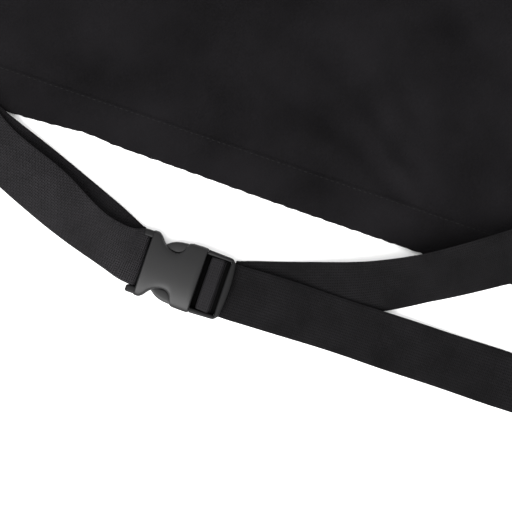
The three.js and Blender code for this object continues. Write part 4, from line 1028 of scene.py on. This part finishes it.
armhole_tape("armhole_tape_near", -1, "armhole_binding_near")
armhole_tape("armhole_tape_far", 1, "armhole_binding_far")


# ------------------------------------------------------------------ stitching
def stitches(name, line, node, height=None, body="root", long=2.3, gap=1.2, thick=0.42):
    """Row of lockstitches along a line of points: each a small rounded capsule sunk at its ends.

    height is a function of plan position, or None where the line carries its own height.
    """
    line = evenly(np.asarray(line, float), 0.4)
    run = lengths(line)
    starts = np.arange(0.4, run[-1] - long, long + gap)
    if not len(starts):
        starts = np.array([0.0])
    t = np.linspace(0, 1, 7)
    at = starts[:, None] + long * t[None, :]
    centre = np.stack([np.interp(at, run, line[:, i]) for i in range(line.shape[1])], -1)
    if line.shape[1] == 2:
        centre = np.concatenate([centre, height(centre[..., 0], centre[..., 1])[..., None]], -1)
    heading = np.gradient(centre, axis=1)
    heading /= np.linalg.norm(heading, axis=-1)[..., None]
    sideways = np.cross([0, 0, 1.0], heading)
    sideways /= np.linalg.norm(sideways, axis=-1)[..., None]
    up = np.cross(heading, sideways)
    fat = thick / 2 * np.sqrt(np.clip(1 - (2 * t - 1) ** 6, 0.06, 1))
    arch = thick * 0.35 * (1 - (2 * t - 1) ** 4)
    angle = np.linspace(0, TAU, 6, endpoint=False)
    ring = (sideways[:, :, None] * np.cos(angle)[:, None] + up[:, :, None] * np.sin(angle)[:, None])
    points = centre[:, :, None] + ring * fat[None, :, None, None] + up[:, :, None] * arch[None, :, None, None]
    count, rows, columns = points.shape[:3]
    one = quads(rows, columns, wrap=True)
    caps = np.array([[0, 1, 2, 3], [0, 3, 4, 5]])
    one = np.concatenate([one, caps[:, ::-1], caps + (rows - 1) * columns])
    faces = (one[None] + (np.arange(count) * rows * columns)[:, None, None]).reshape(-1, 4)
    points = points.reshape(-1, 3)
    return shape(name, points, faces, SEWING_THREAD, body=body, stands_for=[node] if node else (), crease=180)


def boxed_cross(name, middle, length, width, turned, height, node, body="root"):
    """Sewn box with both diagonals, lying at one height."""
    corners = rectangle(middle, length, width, turned)
    path = np.array([corners[k] for k in (0, 1, 2, 3, 0, 2, 3, 1)])
    path = np.column_stack([path, np.full(len(path), float(height))])
    return stitches(name, path, node, body=body, long=2.0, gap=0.8)


boxed_cross("tab_box_stitch", tab_anchor, 34, 30, tab_angle, ANCHOR + LAYER + 0.78, "tab_stitching")
boxed_cross("far_box_stitch", far_anchor, 32, 32, math.atan2(to_anchor[1], to_anchor[0]), ANCHOR + 0.78,
            "belt_stitching")
tail_row = near_edge(tail_end - TAIL_TURN_BACK + 6, 62.8, floor_height + LAYER + 0.78)
stitches("tail_end_stitch", [tail_row + [-16, 0, 0], tail_row + [16, 0, 0]], "tail_stitching", body="tail")


def on_cloth(x, y):
    """Height at which a hem's stitches lie: the doubled cloth's face, a little sunk in."""
    sag = HEM_SAG * (1 - soft(np.minimum(x - NEAR_X, FAR_X - x) / EDGE_EASE))
    return CLOTH_TOP + cloth_height(x, y) + HEM_STEP - 0.26 - sag


for label, line in (
        ("side_hem_stitch_near", [(NEAR_X + SIDE_HEM - 1.6, WAIST_Y - 12), (NEAR_X + SIDE_HEM - 1.6, HEM_Y + 4)]),
        ("side_hem_stitch_far", [(FAR_X - SIDE_HEM + 1.6, WAIST_Y - 12), (FAR_X - SIDE_HEM + 1.6, HEM_Y + 4)]),
        ("bottom_hem_stitch", [(NEAR_X + 4, HEM_Y + BOTTOM_HEM - 1.6), (FAR_X - 4, HEM_Y + BOTTOM_HEM - 1.6)]),
        ("bib_hem_stitch", [(MIDDLE_X - BIB_HALF + 3, BIB_TOP - BIB_HEM + 1.6),
                            (MIDDLE_X + BIB_HALF - 3, BIB_TOP - BIB_HEM + 1.6)])):
    stitches(label, line, None, height=on_cloth, long=2.6, gap=1.3, thick=0.34)


# ------------------------------------------------------------------ neck strap, adjuster and ring
NECK_INSET = 23  # the neck strap's middle, in from the bib's corner
NECK_X = MIDDLE_X + BIB_HALF - NECK_INSET
NECK_LEFT = MIDDLE_X - BIB_HALF + NECK_INSET
ARCH_Y = BIB_TOP + 178
ARCH_RADIUS = BIB_HALF - NECK_INSET
NECK_ANCHOR = HEM_HIGH + REST + NECK / 2
ON_EDGE = 13.0
leg = 42 + 178
arch_angle = np.linspace(math.pi, 0, 90)
neck_line = evenly(np.vstack([
    [(NECK_LEFT, BIB_TOP - 42), (NECK_LEFT, ARCH_Y)],
    np.stack([MIDDLE_X + ARCH_RADIUS * np.cos(arch_angle), ARCH_Y + ARCH_RADIUS * np.sin(arch_angle)], -1)[1:]]), 2.0)
arch_length = leg + math.pi * ARCH_RADIUS
rise = steps([(0, NECK_ANCHOR), (leg - 138, NECK_ANCHOR), (leg - 20, ON_EDGE + 0.35), (arch_length, ON_EDGE + 0.35)])
twist = steps([(leg - 78, 0), (leg - 64, 0.12), (leg - 34, math.pi / 2 - 0.12), (leg - 20, math.pi / 2)])
places = np.arange(0, arch_length, 2.0)
band("neck_strap_webbing", neck_line, np.column_stack([places, rise(places)]), NECK_WIDTH, NECK, NECK_WEBBING,
     roll=twist, lift=cupped(0.3, 41), sway=wavy(0.2, 30), stands_for=["neck_strap"])

SLIDER_LOW = 2.4
WIRE = 2.6  # thickness of the ring and of the slider's frame
slider_y = BIB_TOP + 92
RING_Z = HEM_HIGH + 0.8
ring_far = BIB_TOP + 28
run_top = ARCH_Y - 0.6
run_length = run_top - ring_far
slider_d = run_top - slider_y
over_bar = SLIDER_LOW + 1.8 + REST + NECK / 2
under_bar = SLIDER_LOW + 3.3 - REST - NECK / 2
bar_reach = 19 / 2 - WIRE / 2
ring_bend = WIRE / 2 + REST + NECK / 2
down_line = np.array([(NECK_X, run_top), (NECK_X, ring_far - 40)])
upper_part = smooth_line([
    (0, ON_EDGE), (8, ON_EDGE), (58, under_bar + 2), (slider_d - 18, under_bar),
    (slider_d - bar_reach, under_bar - 0.25), (slider_d, over_bar), (slider_d + bar_reach, under_bar - 0.25),
    (slider_d + 22, under_bar),
    (run_length - 8, RING_Z + ring_bend), (run_length, RING_Z + ring_bend)], 1.2)
back_part = smooth_line([
    (run_length, RING_Z - ring_bend), (run_length - 10, RING_Z - ring_bend), (slider_d + 16, 1.1),
    (slider_d + 2, SLIDER_LOW - REST - NECK / 2), (slider_d - 1.2, SLIDER_LOW - REST - NECK / 2)], 1.2)
neck_roll = steps([(0, math.pi / 2), (10, math.pi / 2 - 0.15), (48, 0.12), (58, 0)])
halfway = slider_d + 14
first = upper_part[upper_part[:, 0] <= halfway]
second = upper_part[upper_part[:, 0] >= first[-1, 0]]
neck_upper = band("neck_adjuster_upper", down_line, first, NECK_WIDTH, NECK, NECK_WEBBING, roll=neck_roll,
                  lift=cupped(0.2, 33), body=None, stands_for=["neck_adjuster_run"])
lower_profile = np.vstack([
    second, bend(run_length, RING_Z, ring_bend, 80, -80, 9), back_part,
    bend(slider_d - 1.2, SLIDER_LOW + 0.9, 1.8, 250, 180, 5)])
neck_lower = band("neck_adjuster_lower", down_line, lower_profile, NECK_WIDTH, NECK, NECK_WEBBING,
                  lift=lambda d, a: 0.15 * (1 - a * a), body=None, start=float(first[-1, 0]),
                  stands_for=["neck_adjuster_run"])
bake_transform(neck_upper)
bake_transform(neck_lower)


def loop_frame(name, corner, half_y, middle, squash, body, node):
    """Closed loop of rounded wire following a rounded rectangle, its section flattened by squash upward."""
    t = np.linspace(0, TAU, 161)[:-1]
    c, s = np.cos(t), np.sin(t)
    half_x = NECK_WIDTH / 2 + 0.8 + WIRE / 2
    x, y = half_x * squared(c, corner), half_y * squared(s, corner)
    line = evenly(np.column_stack([np.append(x, x[0]), np.append(y, y[0])]), 0.8)[:-1]
    heading = np.roll(line, -1, 0) - np.roll(line, 1, 0)
    heading /= np.linalg.norm(heading, axis=1)[:, None]
    normal = np.stack([heading[:, 1], -heading[:, 0]], -1)
    across, up = ring_of(18)
    plan = line[:, None] + normal[:, None] * (WIRE / 2 * across)[..., None]
    z = np.broadcast_to(middle[2] + WIRE / 2 * squash * up, plan.shape[:2])
    points = np.concatenate([plan + np.array(middle[:2]), z[..., None]], -1)
    points = np.concatenate([points, points[:1]])
    rows, columns = points.shape[:2]
    faces = quads(rows, columns, wrap=True) % ((rows - 1) * columns)
    points = points[:-1].reshape(-1, 3)
    return shape(name, points, faces, BUCKLE_PLASTIC, body=body, stands_for=[node], crease=180)


loop_frame("neck_ring_loop", 0.3, 7.5, (NECK_X, BIB_TOP + 20.5, RING_Z), 1.0, "root", "neck_ring")
loop_frame("neck_slider_frame", 0.25, bar_reach, (NECK_X, slider_y, SLIDER_LOW + 2.55 + 1.0), 0.9, "slider",
           "neck_slider")


def slider_bar():
    """The slider's middle bar: a rounded section carried across, with its ends buried in the frame."""
    a = np.linspace(-1, 1, 30)
    c, s = ring_of(18)
    x = NECK_X + 14.2 * a[:, None] + 0 * c
    y = slider_y + WIRE / 2 * c + 0 * a[:, None]
    z = SLIDER_LOW + 0.9 + 0.9 * s + 1.5 * (np.abs(a) ** 14)[:, None]
    points, faces = capped_tube(np.stack([x, y, z], -1))
    return shape("neck_slider_bar", points, faces, BUCKLE_PLASTIC, body="slider",
                 stands_for=["neck_slider"], crease=50)


slider_bar()
tab_reach = 55
tab_low, tab_high = NECK_ANCHOR, NECK_ANCHOR + NECK + REST
ring_line = np.array([(NECK_X, BIB_TOP - 42), (NECK_X, BIB_TOP + 40)])
ring_profile = np.vstack([
    smooth_line([(0, tab_low), (38, tab_low), (43, tab_low), (tab_reach - 3, RING_Z - ring_bend),
                 (tab_reach, RING_Z - ring_bend)], 1.2),
    bend(tab_reach, RING_Z, ring_bend, -80, 80, 9),
    smooth_line([(tab_reach, RING_Z + ring_bend), (tab_reach - 3, RING_Z + ring_bend), (43, tab_high), (38, tab_high),
                 (0, tab_high)], 1.2)])
band("ring_tab_webbing", ring_line, ring_profile, NECK_WIDTH, NECK, NECK_WEBBING, stands_for=["ring_tab"])
boxed_cross("neck_box_stitch", (NECK_LEFT, BIB_TOP - 21), 26, 19, math.pi / 2, NECK_ANCHOR + 0.62, "neck_stitching")
boxed_cross("ring_tab_box_stitch", (NECK_X, BIB_TOP - 21), 26, 19, math.pi / 2, tab_high + 0.62,
            "ring_tab_stitching")

# ------------------------------------------------------------------ floor
floor_mesh = bpy.data.meshes.new("floor")
floor_mesh.from_pydata([(-4, -4, 0), (4, -4, 0), (4, 4, 0), (-4, 4, 0)], [], [(0, 1, 2, 3)])
floor = bpy.data.objects.new("floor", floor_mesh)
bpy.context.scene.collection.objects.link(floor)
pale = bpy.data.materials.new("pale_floor")
pale.use_nodes = True
for label, value in (("Base Color", (0.9, 0.9, 0.9, 1)), ("Roughness", 0.9), ("Specular IOR Level", 0.1)):
    pale.node_tree.nodes["Principled BSDF"].inputs[label].default_value = value
floor_mesh.materials.append(pale)
